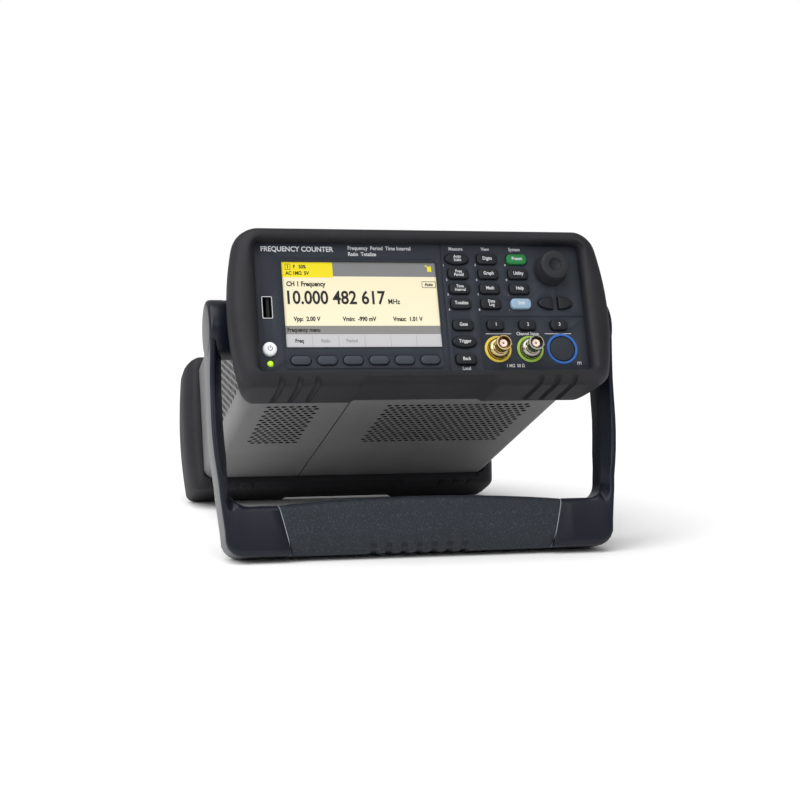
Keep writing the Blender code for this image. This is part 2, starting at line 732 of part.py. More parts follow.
def add_fan(cabinet):
    """A rear fan: a square frame with a round bore and a back spider, and the rotor on its spindle."""
    place = (FAN_CENTRE[0], FAN_FRONT, FAN_CENTRE[1])
    frame = add_piece(
        "fan_frame",
        prism(bmesh.new(), rounded_rectangle(FAN_SIZE, FAN_SIZE, 4.0), "XZ", 0.0, FAN_DEPTH),
        "black_plastic",
        cabinet,
        place,
    )
    bore = bmesh.new()
    prism(bore, circle(FAN_BORE_RADIUS, steps=32), "XZ", -CUTTER_OVERRUN, FAN_DEPTH + CUTTER_OVERRUN)
    boolean(frame, add_cutter("fan_bore", bore, cabinet, place))
    spider = bmesh.new()
    prism(spider, circle(13.5, steps=24), "XZ", 0.3, 2.0)
    for degrees in (45, 135):
        bar = bmesh.new()
        box(bar, (-FAN_BORE_RADIUS - 1.5, 0.6, -1.5), (FAN_BORE_RADIUS + 1.5, 1.8, 1.5))
        turn = Matrix.Rotation(math.radians(degrees), 3, "Y")
        bmesh.ops.rotate(bar, verts=bar.verts, cent=(0, 0, 0), matrix=turn)
        boolean(frame, add_cutter(f"fan_spoke_{degrees}", bar, cabinet, place), "UNION")
    boolean(frame, add_cutter("fan_motor_seat", spider, cabinet, place), "UNION")
    rotor = add_piece(
        "fan_rotor",
        prism(bmesh.new(), circle(12.5, steps=24), "XZ", 2.6, 13.0),
        "black_plastic",
        cabinet,
        place,
    )
    pitch = Matrix.Rotation(FAN_BLADE_PITCH, 3, "X")
    for blade in range(FAN_BLADES):
        vane = bmesh.new()
        box(vane, (11.5, 3.4, -0.6), (26.5, 12.2, 0.6))
        bmesh.ops.rotate(vane, verts=vane.verts, cent=(19, 7.8, 0), matrix=pitch)
        turn = Matrix.Rotation(2 * math.pi * blade / FAN_BLADES, 3, "Y")
        bmesh.ops.rotate(vane, verts=vane.verts, cent=(0, 0, 0), matrix=turn)
        boolean(rotor, add_cutter(f"fan_vane_{blade + 1}", vane, cabinet, place), "UNION")
    return rotor


def add_rear_panel(cabinet):
    rings = panel_rings(REAR_PANEL_BACK, REAR_PANEL_BACK - 2.2, COVER_REAR + GAP, COVER_REAR - 10)
    panel = add_cup("rear_panel", "black_plastic", cabinet, rings)
    openings = bmesh.new()
    low, high = REAR_PANEL_BACK - 2.2 - CUTTER_OVERRUN, REAR_PANEL_BACK + CUTTER_OVERRUN
    for row in range(-4, 5):
        level = row * 5.4
        half = math.sqrt((FAN_BORE_RADIUS - 2) ** 2 - level**2)
        slot = rounded_rectangle(2 * half, 3.0, 1.2, (FAN_CENTRE[0], FAN_CENTRE[1] + level), steps=1)
        prism(openings, slot, "XZ", low, high)
    prism(openings, rounded_rectangle(28.2, 20.6, 2.0, INLET_CENTRE, steps=2), "XZ", low, high)
    prism(openings, rounded_rectangle(17.2, 27.2, 0.8, JACK_CENTRE, steps=2), "XZ", low, high)
    for index in range(4):
        centre = (REAR_CONNECTOR_FIRST_X + index * REAR_CONNECTOR_PITCH, REAR_CONNECTOR_Z)
        prism(openings, circle(5.2, centre, steps=20), "XZ", low, high)
    for side in (-1, 1):
        prism(openings, circle(1.9, (side * REAR_SCREW_X, REAR_SCREW_Z), steps=12), "XZ", low, high)
    boolean(panel, add_cutter("rear_openings", openings, cabinet))
    return panel


def add_power_inlet(cabinet):
    place = (INLET_CENTRE[0], REAR_PANEL_BACK, INLET_CENTRE[1])
    rings = [
        along_y(rounded_rectangle(27.4, 19.8, 1.6, steps=3), -18.0),
        along_y(rounded_rectangle(27.4, 19.8, 1.6, steps=3), GAP),
        along_y(rounded_rectangle(33.0, 25.0, 2.6, steps=3), GAP),
        along_y(rounded_rectangle(33.0, 25.0, 2.6, steps=3), 2.6),
        along_y(rounded_rectangle(24.4, 16.6, 2.4, steps=3), 2.6),
        along_y(rounded_rectangle(24.4, 16.6, 2.4, steps=3), -14.0),
    ]
    shape = loft(bmesh.new(), rings, closed=False)
    inlet = add_piece("power_inlet", shape, "black_plastic", cabinet, place)
    blades = bmesh.new()
    for x, z in ((-7.0, -1.0), (0.0, 3.0), (7.0, -1.0)):
        box(blades, (x - 1.0, -15.0, z - 2.0), (x + 1.0, -1.0, z + 2.0))
    boolean(inlet, add_cutter("inlet_blades", blades, cabinet, place), "UNION")
    return inlet


def add_rear_connector(name, index, cabinet):
    place = (REAR_CONNECTOR_FIRST_X + index * REAR_CONNECTOR_PITCH, REAR_PANEL_BACK, REAR_CONNECTOR_Z)
    profile = [
        (0, -10.0),
        (4.9, -10.0),
        (4.9, GAP),
        (7.0, GAP),
        (7.0, 2.0),
        (4.85, 3.4),
        (4.85, 12.0),
        (4.05, 12.0),
        (4.05, 4.4),
        (2.45, 4.4),
        (2.45, 10.6),
        (0, 10.6),
    ]
    shape = turned(bmesh.new(), profile, (0.0, 0.0), steps=16)
    return add_piece(name, shape, "connector_plating", cabinet, place)


def add_interface_jack(cabinet):
    """The network and USB sockets in one stacked shell."""
    place = (JACK_CENTRE[0], REAR_PANEL_BACK, JACK_CENTRE[1])
    shape = prism(bmesh.new(), rounded_rectangle(16.6, 26.6, 0.6, steps=2), "XZ", -18.0, 1.2)
    jack = add_piece("interface_jack", shape, "chassis_steel", cabinet, place)
    hollows = bmesh.new()
    box(hollows, (-6.2, -12.0, 0.6), (6.2, 2.2, 10.6))
    box(hollows, (-4.2, -9.0, -10.8), (4.2, 2.2, -3.0))
    boolean(jack, add_cutter("jack_hollows", hollows, cabinet, place))
    return jack


def add_rear_screws(cabinet):
    profile = [(0, -12.0), (1.5, -12.0), (1.5, GAP), (4.0, GAP), (4.0, 2.0), (3.4, 2.8), (0, 2.8)]
    for side, name in ((-1, "rear_screw_left"), (1, "rear_screw_right")):
        place = (side * REAR_SCREW_X, REAR_PANEL_BACK, REAR_SCREW_Z)
        shape = turned(bmesh.new(), profile, (0, 0), steps=16)
        screw = add_piece(name, shape, "chassis_steel", cabinet, place)
        slot = box(bmesh.new(), (-3.2, 1.8, -0.5), (3.2, 3.8, 0.5))
        boolean(screw, add_cutter(name + "_slot", slot, cabinet, place))


# Handle


def handle_front_outline():
    """The U seen from the front: straight arms beside the hubs, a taper to the bar, round corners."""
    top = HUB_RADIUS + 1
    corner = (BAR_HALF_WIDTH - BAR_CORNER, -BAR_BOTTOM + BAR_CORNER)
    outer = [(HANDLE_HALF_WIDTH, top), (HANDLE_HALF_WIDTH, -ARM_STRAIGHT)]
    outer += [(HANDLE_HALF_WIDTH - 1.4, -ARM_STRAIGHT - 22)]
    outer += arc(corner, BAR_CORNER, 0, -90, 6)
    inner_x = BAR_HALF_WIDTH - ARM_THICKNESS + 3.0
    inner = [(HANDLE_HALF_WIDTH - ARM_THICKNESS, top), (HANDLE_HALF_WIDTH - ARM_THICKNESS, -ARM_STRAIGHT)]
    inner += arc((inner_x - INNER_FILLET, -BAR_TOP + INNER_FILLET), INNER_FILLET, 0, -90, 5)
    left_outer = [(-x, z) for x, z in reversed(outer)]
    left_inner = [(-x, z) for x, z in inner]
    return outer + left_outer + left_inner + list(reversed(inner))


def handle_side_outline():
    """The arm and bar seen from the side: round about the pivot, a narrower arm, then the deeper bar."""
    found = arc((0.0, 0.0), HUB_RADIUS, -32, 212, 16)
    found += [(-ARM_HALF_DEPTH, -32.0), (-ARM_HALF_DEPTH, -BAR_TOP + 8), (BAR_FRONT, -BAR_TOP)]
    found += [(BAR_FRONT, -BAR_BOTTOM + BAR_CHAMFER[1]), (BAR_FRONT + BAR_CHAMFER[0], -BAR_BOTTOM)]
    found += arc((BAR_REAR - BAR_EDGE, -BAR_BOTTOM + BAR_EDGE), BAR_EDGE, -90, 0, 3)
    found += [(BAR_REAR, -BAR_TOP), (ARM_HALF_DEPTH, -BAR_TOP + 8), (ARM_HALF_DEPTH, -32.0)]
    return found


def grip_ring(x, margin, swell):
    """One section of the bar at x, inset by a margin, its top raised by a swell and its ends slanted."""
    front, rear = BAR_FRONT + margin, BAR_REAR - margin
    low, high = -BAR_BOTTOM + margin, -BAR_TOP - margin + swell
    corners = [(front, low + BAR_CHAMFER[1]), (front + BAR_CHAMFER[0], low)]
    corners += arc((rear - BAR_EDGE, low + BAR_EDGE), BAR_EDGE, -90, 0, 3)
    corners += arc((rear - BAR_EDGE, high - BAR_EDGE), BAR_EDGE, 0, 90, 3)
    corners += arc((front + BAR_EDGE, high - BAR_EDGE), BAR_EDGE, 90, 180, 3)
    middle = -(BAR_TOP + BAR_BOTTOM) / 2
    half = (BAR_BOTTOM - BAR_TOP) / 2
    share = x / GRIP_HALF_LENGTH
    return [(x + share * GRIP_SLANT * (z - middle) / half, y, z) for y, z in corners]


def add_handle(pivot):
    front = prism(bmesh.new(), handle_front_outline(), "XZ", -HUB_RADIUS - 4, HUB_RADIUS + 4)
    handle = add_piece("handle", front, "handle_plastic", pivot)
    reach = HANDLE_HALF_WIDTH + 2
    side = prism(bmesh.new(), handle_side_outline(), "YZ", -reach, reach)
    boolean(handle, add_cutter("handle_side_shape", side, pivot), "INTERSECT")
    rings = []
    for margin, x in ((GRIP_DEPTH, -1), (GRIP_DEPTH, 1), (-GRIP_DEPTH, 1), (-GRIP_DEPTH, -1)):
        rings.append(grip_ring(x * GRIP_HALF_LENGTH, margin, 0.0))
    seat = loft(bmesh.new(), rings, closed=True)
    boolean(handle, add_cutter("grip_seat", seat, pivot))
    arm_face = HANDLE_HALF_WIDTH - ARM_THICKNESS
    inner = CABINET_WIDTH / 2 + 0.7
    rounds = (
        ("hubs", HUB_RADIUS - 0.3, 36, inner, arm_face + 2),
        ("pivot_pins", PIVOT_PIN_RADIUS, 20, CABINET_WIDTH / 2 - 7, inner + 4),
    )
    for name, radius, steps, near, far in rounds:
        pair = bmesh.new()
        for side_sign in (-1, 1):
            ends = sorted((side_sign * near, side_sign * far))
            prism(pair, circle(radius, steps=steps), "YZ", *ends)
        boolean(handle, add_cutter(name, pair, pivot), "UNION")
    return handle


def add_grip(pivot):
    """A textured sleeve moulded round the bar, fuller at the middle."""
    stations = 8
    end = GRIP_HALF_LENGTH - GAP
    rings = []
    for step in range(stations + 1):
        x = -end + 2 * end * step / stations
        rings.append(grip_ring(x, 0.0, GRIP_SWELL * (1 - (x / end) ** 2)))
    for side in (1, -1):
        rings.append(grip_ring(side * end, GRIP_DEPTH - GAP, 0.0))
    return add_piece("handle_grip", loft(bmesh.new(), rings, closed=True), "grip_texture", pivot)


def cut_pivot_holes(cabinet):
    """Holes for the handle's pins through the cover and the chassis walls, and scallops in the bumper."""
    bores = bmesh.new()
    reach = CABINET_WIDTH / 2 + 3
    for side in (-1, 1):
        ends = sorted((side * reach, side * (reach - 12)))
        prism(bores, circle(PIVOT_PIN_RADIUS + 0.5, (PIVOT_Y, PIVOT_Z), steps=20), "YZ", *ends)
    cutter = add_cutter("pivot_bores", bores, cabinet)
    boolean(bpy.data.objects["cover"], cutter)
    boolean(bpy.data.objects["chassis"], cutter)
    scallops = bmesh.new()
    for side in (-1, 1):
        ends = sorted((side * (CABINET_WIDTH / 2 - 2), side * (BUMPER_HALF_WIDTH + 6)))
        prism(scallops, circle(HUB_RADIUS + 1.5, (PIVOT_Y, PIVOT_Z), steps=40), "YZ", *ends)
    boolean(bpy.data.objects["front_bumper"], add_cutter("hub_scallops", scallops, cabinet))


# Standing attitude


def evaluated_points(name, frame):
    """A piece's points in millimetres in an empty's frame."""
    graph = bpy.context.evaluated_depsgraph_get()
    piece = bpy.data.objects[name].evaluated_get(graph)
    to_frame = frame.matrix_world.inverted() @ piece.matrix_world
    mesh = piece.to_mesh()
    found = [to_frame @ vertex.co / MM for vertex in mesh.vertices]
    piece.to_mesh_clear()
    return found


def standing_tilt(cabinet):
    """The tilt in radians at which the handle's bar and the rear bumper both touch one floor."""
    bar = evaluated_points("handle", cabinet)
    heel = evaluated_points("rear_bumper", cabinet)
    tilt = 0.0
    for _ in range(20):
        sine, cosine = math.sin(tilt), math.cos(tilt)
        low_bar = min(bar, key=lambda point: point.z * cosine - point.y * sine)
        low_heel = min(heel, key=lambda point: point.z * cosine - point.y * sine)
        tilt = math.atan2(low_heel.z - low_bar.z, low_heel.y - low_bar.y)
    return tilt


def stand_on_floor(cabinet):
    """Tilts the cabinet, and moves it so that the bottom centre of the whole box is the origin."""
    cabinet.rotation_euler = (-standing_tilt(cabinet), 0.0, 0.0)
    bpy.context.view_layer.update()
    graph = bpy.context.evaluated_depsgraph_get()
    corners = []
    for piece in bpy.context.scene.objects:
        if piece.type != "MESH" or piece.hide_render:
            continue
        shown = piece.evaluated_get(graph)
        mesh = shown.to_mesh()
        corners += [shown.matrix_world @ vertex.co for vertex in mesh.vertices]
        shown.to_mesh_clear()
    lowest = min(point.z for point in corners)
    near = min(point.y for point in corners)
    far = max(point.y for point in corners)
    cabinet.location = (0.0, -(near + far) / 2, -lowest)


def build():
    clear_scene()
    cabinet = bpy.data.objects.new("cabinet_frame", None)
    pivot = bpy.data.objects.new("handle_pivot", None)
    for empty in (cabinet, pivot):
        bpy.context.scene.collection.objects.link(empty)
    pivot.parent = cabinet
    pivot.location = Vector((0.0, PIVOT_Y, PIVOT_Z)) * MM
    pivot.rotation_euler = (math.radians(HANDLE_LEAN), 0.0, 0.0)
    add_cover(cabinet)
    add_chassis(cabinet)
    add_front_bumper(cabinet)
    add_rear_bumper(cabinet)
    add_front_panel(cabinet)
    for key in key_list():
        add_key(*key, cabinet)
    add_power_button(cabinet)
    add_knob(cabinet)
    add_encoder(cabinet)
    for index in range(2):
        add_front_connector(index, cabinet)
    add_blank(cabinet)
    add_led(cabinet)
    add_usb_port(cabinet)
    add_display(cabinet)
    add_keypad_layers(cabinet)
    add_main_board(cabinet)
    add_power_supply(cabinet)
    add_fan(cabinet)
    add_rear_panel(cabinet)
    add_power_inlet(cabinet)
    names = ("rear_bnc_gate", "rear_bnc_trigger", "rear_bnc_reference_out", "rear_bnc_reference_in")
    for index, name in enumerate(names):
        add_rear_connector(name, index, cabinet)
    add_interface_jack(cabinet)
    add_rear_screws(cabinet)
    add_handle(pivot)
    add_grip(pivot)
    cut_pivot_holes(cabinet)
    bpy.context.view_layer.update()
    stand_on_floor(cabinet)


build()
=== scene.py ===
import json
import math

import bmesh
import bpy
from mathutils import Matrix, Vector


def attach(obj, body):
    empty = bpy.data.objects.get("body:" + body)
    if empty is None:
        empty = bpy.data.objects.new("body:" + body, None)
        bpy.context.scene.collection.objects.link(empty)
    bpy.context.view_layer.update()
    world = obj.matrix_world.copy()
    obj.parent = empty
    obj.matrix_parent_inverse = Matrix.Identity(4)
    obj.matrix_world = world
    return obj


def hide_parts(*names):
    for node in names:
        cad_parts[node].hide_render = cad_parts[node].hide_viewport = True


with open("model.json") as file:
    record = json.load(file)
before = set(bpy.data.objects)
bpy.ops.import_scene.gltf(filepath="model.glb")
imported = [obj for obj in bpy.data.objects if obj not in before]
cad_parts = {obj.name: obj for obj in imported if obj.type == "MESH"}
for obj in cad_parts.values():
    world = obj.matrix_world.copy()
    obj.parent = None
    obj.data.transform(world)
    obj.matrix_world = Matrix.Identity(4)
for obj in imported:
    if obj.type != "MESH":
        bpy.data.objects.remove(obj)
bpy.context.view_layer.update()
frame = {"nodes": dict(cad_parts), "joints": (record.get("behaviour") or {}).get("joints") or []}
nodes = frame["nodes"]
joints = {joint["name"]: joint for joint in frame["joints"]}
print("frame loaded:", len(nodes), "nodes")

# The cabinet's own frame: millimetres from the middle of the panel's face, X right, Y back, Z up
knobSpot = (85.0, 23.3)
pivot = (35.0, -4.0)  # the handle's axis, as Y and Z
pressAxis = Vector(joints["frequency_key_press"]["axis"])
tilt = math.atan2(-pressAxis.z, pressAxis.y)
cabinetTurn = Matrix.Rotation(-tilt, 4, "X")
knobOffset = cabinetTurn @ Vector((knobSpot[0], 0, knobSpot[1])) / 1000
cabinetOrigin = Vector(joints["knob_turn"]["pos_m"]) - knobOffset
toMetres = Matrix.Scale(0.001, 4)
cabinet = Matrix.Translation(cabinetOrigin) @ cabinetTurn @ toMetres
handleLean = math.radians(7.2)
handlePivot = Vector(joints["handle_swing"]["pos_m"])
handleFrame = Matrix.Translation(handlePivot) @ Matrix.Rotation(handleLean - tilt, 4, "X") @ toMetres


def newGroup(name, inputs, outputs):
    group = bpy.data.node_groups.new(name, "ShaderNodeTree")
    for socketName, kind, value in inputs:
        socket = group.interface.new_socket(name=socketName, in_out="INPUT", socket_type=kind)
        if value is not None:
            socket.default_value = value
    for socketName, kind in outputs:
        group.interface.new_socket(name=socketName, in_out="OUTPUT", socket_type=kind)
    return group


def addNode(tree, kind, inputs=None, **settings):  # an input takes a number or another node's output
    node = tree.nodes.new(kind)
    for name, value in settings.items():
        setattr(node, name, value)
    for name, value in (inputs or {}).items():
        if isinstance(value, bpy.types.NodeSocket):
            tree.links.new(value, node.inputs[name])
        else:
            node.inputs[name].default_value = value
    return node


def surfaceGroup():  # cloudy colour, fine grain and rub marks, shared by every moulded or painted finish
    numbers = {"Grain Scale": 2400.0, "Cloud Amount": 0.15, "Rub Amount": 0.1, "Rough Low": 0.5, "Rough High": 0.65}
    tree = newGroup("surfaceWear", [
        ("Vector", "NodeSocketVector", None),
        ("Colour", "NodeSocketColor", (0.5, 0.5, 0.5, 1)),
        ("Worn", "NodeSocketColor", (0.6, 0.6, 0.6, 1)),
        *((name, "NodeSocketFloat", value) for name, value in numbers.items()),
    ], [
        ("Colour", "NodeSocketColor"), ("Roughness", "NodeSocketFloat"), ("Height", "NodeSocketFloat"),
    ])
    take = addNode(tree, "NodeGroupInput").outputs
    give = addNode(tree, "NodeGroupOutput")
    spot = take["Vector"]
    cloud = addNode(tree, "ShaderNodeTexNoise", {"Vector": spot, "Scale": 38.0, "Detail": 4.0})
    grain = addNode(tree, "ShaderNodeTexNoise", {"Vector": spot, "Scale": take["Grain Scale"], "Detail": 2.0})
    rubs = addNode(tree, "ShaderNodeTexNoise", {"Vector": spot, "Scale": 260.0, "Detail": 6.0, "Roughness": 0.72})
    rubMask = addNode(tree, "ShaderNodeMapRange", {"Value": rubs.outputs["Fac"], "From Min": 0.56, "From Max": 0.78})
    rubShare = addNode(tree, "ShaderNodeMath", {0: rubMask.outputs["Result"], 1: take["Rub Amount"]},
                       operation="MULTIPLY")
    cloudCentred = addNode(tree, "ShaderNodeMapRange", {"Value": cloud.outputs["Fac"], "From Min": 0.3,
                                                        "From Max": 0.7, "To Min": -1.0})
    cloudShare = addNode(tree, "ShaderNodeMath", {0: cloudCentred.outputs["Result"], 1: take["Cloud Amount"], 2: 1.0},
                         operation="MULTIPLY_ADD")
    shaded = addNode(tree, "ShaderNodeVectorMath", {0: take["Colour"]}, operation="SCALE")
    tree.links.new(cloudShare.outputs["Value"], shaded.inputs["Scale"])
    mixed = addNode(tree, "ShaderNodeMix", {"Factor": rubShare.outputs["Value"], "A": shaded.outputs["Vector"],
                                            "B": take["Worn"]}, data_type="RGBA")
    rough = addNode(tree, "ShaderNodeMapRange", {"Value": grain.outputs["Fac"], "To Min": take["Rough Low"],
                                                 "To Max": take["Rough High"]})
    tree.links.new(mixed.outputs["Result"], give.inputs["Colour"])
    tree.links.new(rough.outputs["Result"], give.inputs["Roughness"])
    tree.links.new(grain.outputs["Fac"], give.inputs["Height"])
    return tree


surfaceWear = surfaceGroup()


def makeFinish(name, look):
    finish = bpy.data.materials.new(name)
    finish.use_nodes = True
    tree = finish.node_tree
    shader = tree.nodes["Principled BSDF"].inputs
    colour = look["colour"]
    worn = look.get("worn", tuple(min(1.0, level * 1.35 + 0.01) for level in colour))
    place = addNode(tree, "ShaderNodeTexCoord")
    turn = addNode(tree, "ShaderNodeMapping", {"Vector": place.outputs["Object"], "Rotation": (tilt, 0, 0)})
    wear = addNode(tree, "ShaderNodeGroup", {
        "Vector": turn.outputs["Vector"], "Colour": (*colour, 1), "Worn": (*worn, 1),
        "Grain Scale": look.get("grainScale", 2400.0), "Cloud Amount": look.get("cloud", 0.08),
        "Rub Amount": look.get("rub", 0.15), "Rough Low": look["rough"][0], "Rough High": look["rough"][1],
    }, node_tree=surfaceWear)
    tree.links.new(wear.outputs["Colour"], shader["Base Color"])
    tree.links.new(wear.outputs["Roughness"], shader["Roughness"])
    bump = addNode(tree, "ShaderNodeBump", {"Height": wear.outputs["Height"], "Strength": look.get("bump", 0.2),
                                            "Distance": look.get("grainDepth", 0.00004)})
    tree.links.new(bump.outputs["Normal"], shader["Normal"])
    shader["Metallic"].default_value = look.get("metallic", 0.0)
    shader["Coat Weight"].default_value = look.get("coat", 0.0)
    shader["Coat Roughness"].default_value = 0.1
    shader["Specular IOR Level"].default_value = look.get("specular", 0.28)
    if "glow" in look:
        tree.links.new(wear.outputs["Colour"], shader["Emission Color"])
        shader["Emission Strength"].default_value = look["glow"]
    return finish


rubber, plastic, printed = (0.5, 0.66), (0.45, 0.6), (0.5, 0.65)  # roughness, from low to high
plating = {"rough": (0.2, 0.34), "metallic": 1.0, "rub": 0.3}
litScreen = {"rough": (0.2, 0.3), "glow": 0.4, "cloud": 0.01, "rub": 0.0, "bump": 0.0, "coat": 0.4}
screenPrint = {"rough": (0.3, 0.4), "cloud": 0.0, "rub": 0.0, "bump": 0.0}
finishLooks = {
    "bumperRubber": {"colour": (0.0145, 0.0142, 0.0175), "rough": (0.5, 0.7), "bump": 0.35, "rub": 0.18,
                     "cloud": 0.14, "worn": (0.042, 0.042, 0.047), "specular": 0.24},
    "panelPlastic": {"colour": (0.0175, 0.0215, 0.031), "rough": (0.48, 0.62), "bump": 0.25, "rub": 0.06},
    "inputPlastic": {"colour": (0.012, 0.0145, 0.022), "rough": plastic, "bump": 0.25, "rub": 0.05},
    "keyRubber": {"colour": (0.008, 0.009, 0.012), "rough": rubber, "rub": 0.1},
    "softkeyRubber": {"colour": (0.036, 0.043, 0.056), "rough": rubber, "rub": 0.1},
    "greenKeyRubber": {"colour": (0.012, 0.15, 0.038), "rough": plastic, "rub": 0.08},
    "blueKeyRubber": {"colour": (0.23, 0.34, 0.44), "rough": plastic, "rub": 0.06},
    "powerWhite": {"colour": (0.78, 0.79, 0.82), "rough": (0.3, 0.42), "bump": 0.1, "rub": 0.03, "coat": 0.2},
    "coverPaint": {"colour": (0.155, 0.152, 0.155), "rough": (0.42, 0.6), "bump": 0.5, "grainScale": 1500.0,
                   "rub": 0.05, "cloud": 0.05},
    # near-black painted shade for the cover's hole walls, seam and inside faces
    "coverHoleShade": {"colour": (0.008, 0.008, 0.009), "rough": (0.6, 0.8)},
    "rearSteel": {"colour": (0.05, 0.05, 0.052), "rough": (0.5, 0.7)},
    "handlePlastic": {"colour": (0.0062, 0.0075, 0.0145), "rough": (0.26, 0.38), "bump": 0.08, "rub": 0.05,
                      "cloud": 0.04, "worn": (0.022, 0.025, 0.035)},
    "gripRubber": {"colour": (0.0145, 0.019, 0.026), "rough": (0.42, 0.6), "bump": 0.9, "grainScale": 1400.0,
                   "grainDepth": 0.0002, "rub": 0.1},
    "blackPlastic": {"colour": (0.014, 0.014, 0.016), "rough": plastic},
    "knobRubber": {"colour": (0.014, 0.015, 0.018), "rough": (0.5, 0.7), "bump": 0.3},
    "chassisSteel": {"colour": (0.03, 0.03, 0.032), "rough": (0.4, 0.6), "metallic": 0.6},
    "zincSteel": {"colour": (0.52, 0.53, 0.55), "rough": (0.28, 0.45), "metallic": 1.0, "rub": 0.3},
    "goldPlating": {"colour": (0.5, 0.38, 0.19), "worn": (0.4, 0.36, 0.28), **plating},
    "nickelPlating": {"colour": (0.36, 0.34, 0.29), **plating},
    "paleInsulator": {"colour": (0.8, 0.62, 0.55), "rough": (0.4, 0.55)},
    # the print's glow is painted brightness; the print is no lamp
    "whitePrint": {"colour": (0.54, 0.55, 0.57), "rough": printed, "cloud": 0.03, "rub": 0.05, "glow": 0.06},
    # pale grey used for painted edge highlights at the grip's ends
    "edgeHighlightGrey": {"colour": (0.3, 0.32, 0.35), "rough": printed, "cloud": 0.03, "rub": 0.05},
    "darkPrint": {"colour": (0.02, 0.025, 0.04), "rough": printed},
    # the coloured rings' glow is painted brightness that lifts their colour; they are no lamps
    "yellowRing": {"colour": (0.6, 0.46, 0.055), "rough": (0.4, 0.5), "glow": 0.05},
    "greenRing": {"colour": (0.29, 0.45, 0.06), "rough": (0.4, 0.5), "glow": 0.05},
    "blueRing": {"colour": (0.026, 0.11, 0.36), "rough": (0.4, 0.5), "glow": 0.05},
    "lampGreen": {"colour": (0.42, 0.7, 0.03), "rough": (0.2, 0.3), "glow": 0.75},
    "boardGreen": {"colour": (0.015, 0.11, 0.045), "rough": (0.4, 0.55), "cloud": 0.3, "rub": 0.3},
    "matSilicone": {"colour": (0.05, 0.05, 0.055), "rough": (0.6, 0.8)},
    "screenCream": {"colour": (0.562, 0.512, 0.359), **litScreen},
    "screenYellow": {"colour": (0.557, 0.46, 0.002), **litScreen},
    "screenGrey": {"colour": (0.13, 0.131, 0.133), **litScreen},
    "screenBand": {"colour": (0.136, 0.134, 0.128), **litScreen},
    "screenPale": {"colour": (0.33, 0.324, 0.334), **litScreen},
    "screenInk": {"colour": (0.01, 0.01, 0.01), **screenPrint},
    "screenFaint": {"colour": (0.26, 0.26, 0.27), **screenPrint},
    "deepBlack": {"colour": (0.004, 0.004, 0.004), "rough": (0.5, 0.7)},
}
finishes = {name: makeFinish(name, look) for name, look in finishLooks.items()}


def addPebbles(finish):  # a pebbled surface with small bright flecks of painted glint, for the grip
    tree = finish.node_tree
    kinds = ("GROUP", "MAPPING", "BUMP")
    wear, turn, bump = [next(node for node in tree.nodes if node.type == kind) for kind in kinds]
    spot = turn.outputs["Vector"]
    pebble = addNode(tree, "ShaderNodeTexVoronoi", {"Vector": spot, "Scale": 900.0}, feature="SMOOTH_F1")
    fleck = addNode(tree, "ShaderNodeTexNoise", {"Vector": spot, "Scale": 1100.0, "Detail": 2.0})
    bright = addNode(tree, "ShaderNodeMapRange", {"Value": fleck.outputs["Fac"], "From Min": 0.56, "From Max": 0.72})
    # bright flecks mixed into the colour are painted glints
    paintedGlints = addNode(tree, "ShaderNodeMix", {
        "Factor": bright.outputs["Result"], "A": wear.outputs["Colour"], "B": (0.045, 0.053, 0.065, 1),
    }, data_type="RGBA")
    tree.links.new(paintedGlints.outputs["Result"], tree.nodes["Principled BSDF"].inputs["Base Color"])
    joined = addNode(tree, "ShaderNodeMath", {0: wear.outputs["Height"], 1: pebble.outputs["Distance"]},
                     operation="SUBTRACT")
    tree.links.new(joined.outputs["Value"], bump.inputs["Height"])


addPebbles(finishes["gripRubber"])
print("finishes made:", len(finishes))


weld = 0.0005  # points nearer than this, in millimetres, are one


def turnOutward(bm):  # every closed part of a shape faces outwards
    bmesh.ops.recalc_face_normals(bm, faces=bm.faces)
    waiting = set(bm.faces)
    while waiting:
        island, border = set(), [waiting.pop()]
        while border:
            face = border.pop()
            island.add(face)
            near = {other for edge in face.edges for other in edge.link_faces} & waiting
            waiting -= near
            border += near
        volume = 0.0
        for face in island:
            first, *rest = [corner.co for corner in face.verts]
            volume += sum(first.dot(a.cross(b)) for a, b in zip(rest, rest[1:]))
        if volume < 0:
            bmesh.ops.reverse_faces(bm, faces=list(island))


def meshFrom(bm, name):
    mesh = bpy.data.meshes.new(name)
    bm.to_mesh(mesh)
    bm.free()
    return mesh


def settle(name, bm, finish, body="cabinet", place=cabinet, smooth=32, second=None, chosen=None):
    stands = [name] if name in nodes else []  # a piece with a solid's name stands for that solid
    bmesh.ops.remove_doubles(bm, verts=bm.verts, dist=weld)
    turnOutward(bm)
    for face in bm.faces:
        face.material_index = 1 if second and chosen(face) else 0
    bmesh.ops.transform(bm, matrix=place, verts=bm.verts)
    label = name + "_finished" if stands else name
    mesh = meshFrom(bm, label)
    mesh.materials.append(finishes[finish])
    if second:
        mesh.materials.append(finishes[second])
    mesh.shade_smooth()
    mesh.set_sharp_from_angle(angle=math.radians(smooth))
    piece = bpy.data.objects.new(label, mesh)
    bpy.context.scene.collection.objects.link(piece)
    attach(piece, body)
    if stands:
        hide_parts(*stands)


def carve(bm, cutter):  # cuts one shape from another and gives the result
    made = []
    for label, shape in (("carved", bm), ("carver", cutter)):
        bmesh.ops.recalc_face_normals(shape, faces=shape.faces)
        made.append(bpy.data.objects.new(label, meshFrom(shape, label)))
        bpy.context.scene.collection.objects.link(made[-1])
    step = made[0].modifiers.new("carve", "BOOLEAN")
    step.operation = "DIFFERENCE"
    step.object = made[1]
    graph = bpy.context.evaluated_depsgraph_get()
    result = bmesh.new()
    cut = bpy.data.meshes.new_from_object(made[0].evaluated_get(graph))
    result.from_mesh(cut)
    bpy.data.meshes.remove(cut)
    for thing in made:
        mesh = thing.data
        bpy.data.objects.remove(thing)
        bpy.data.meshes.remove(mesh)
    return result


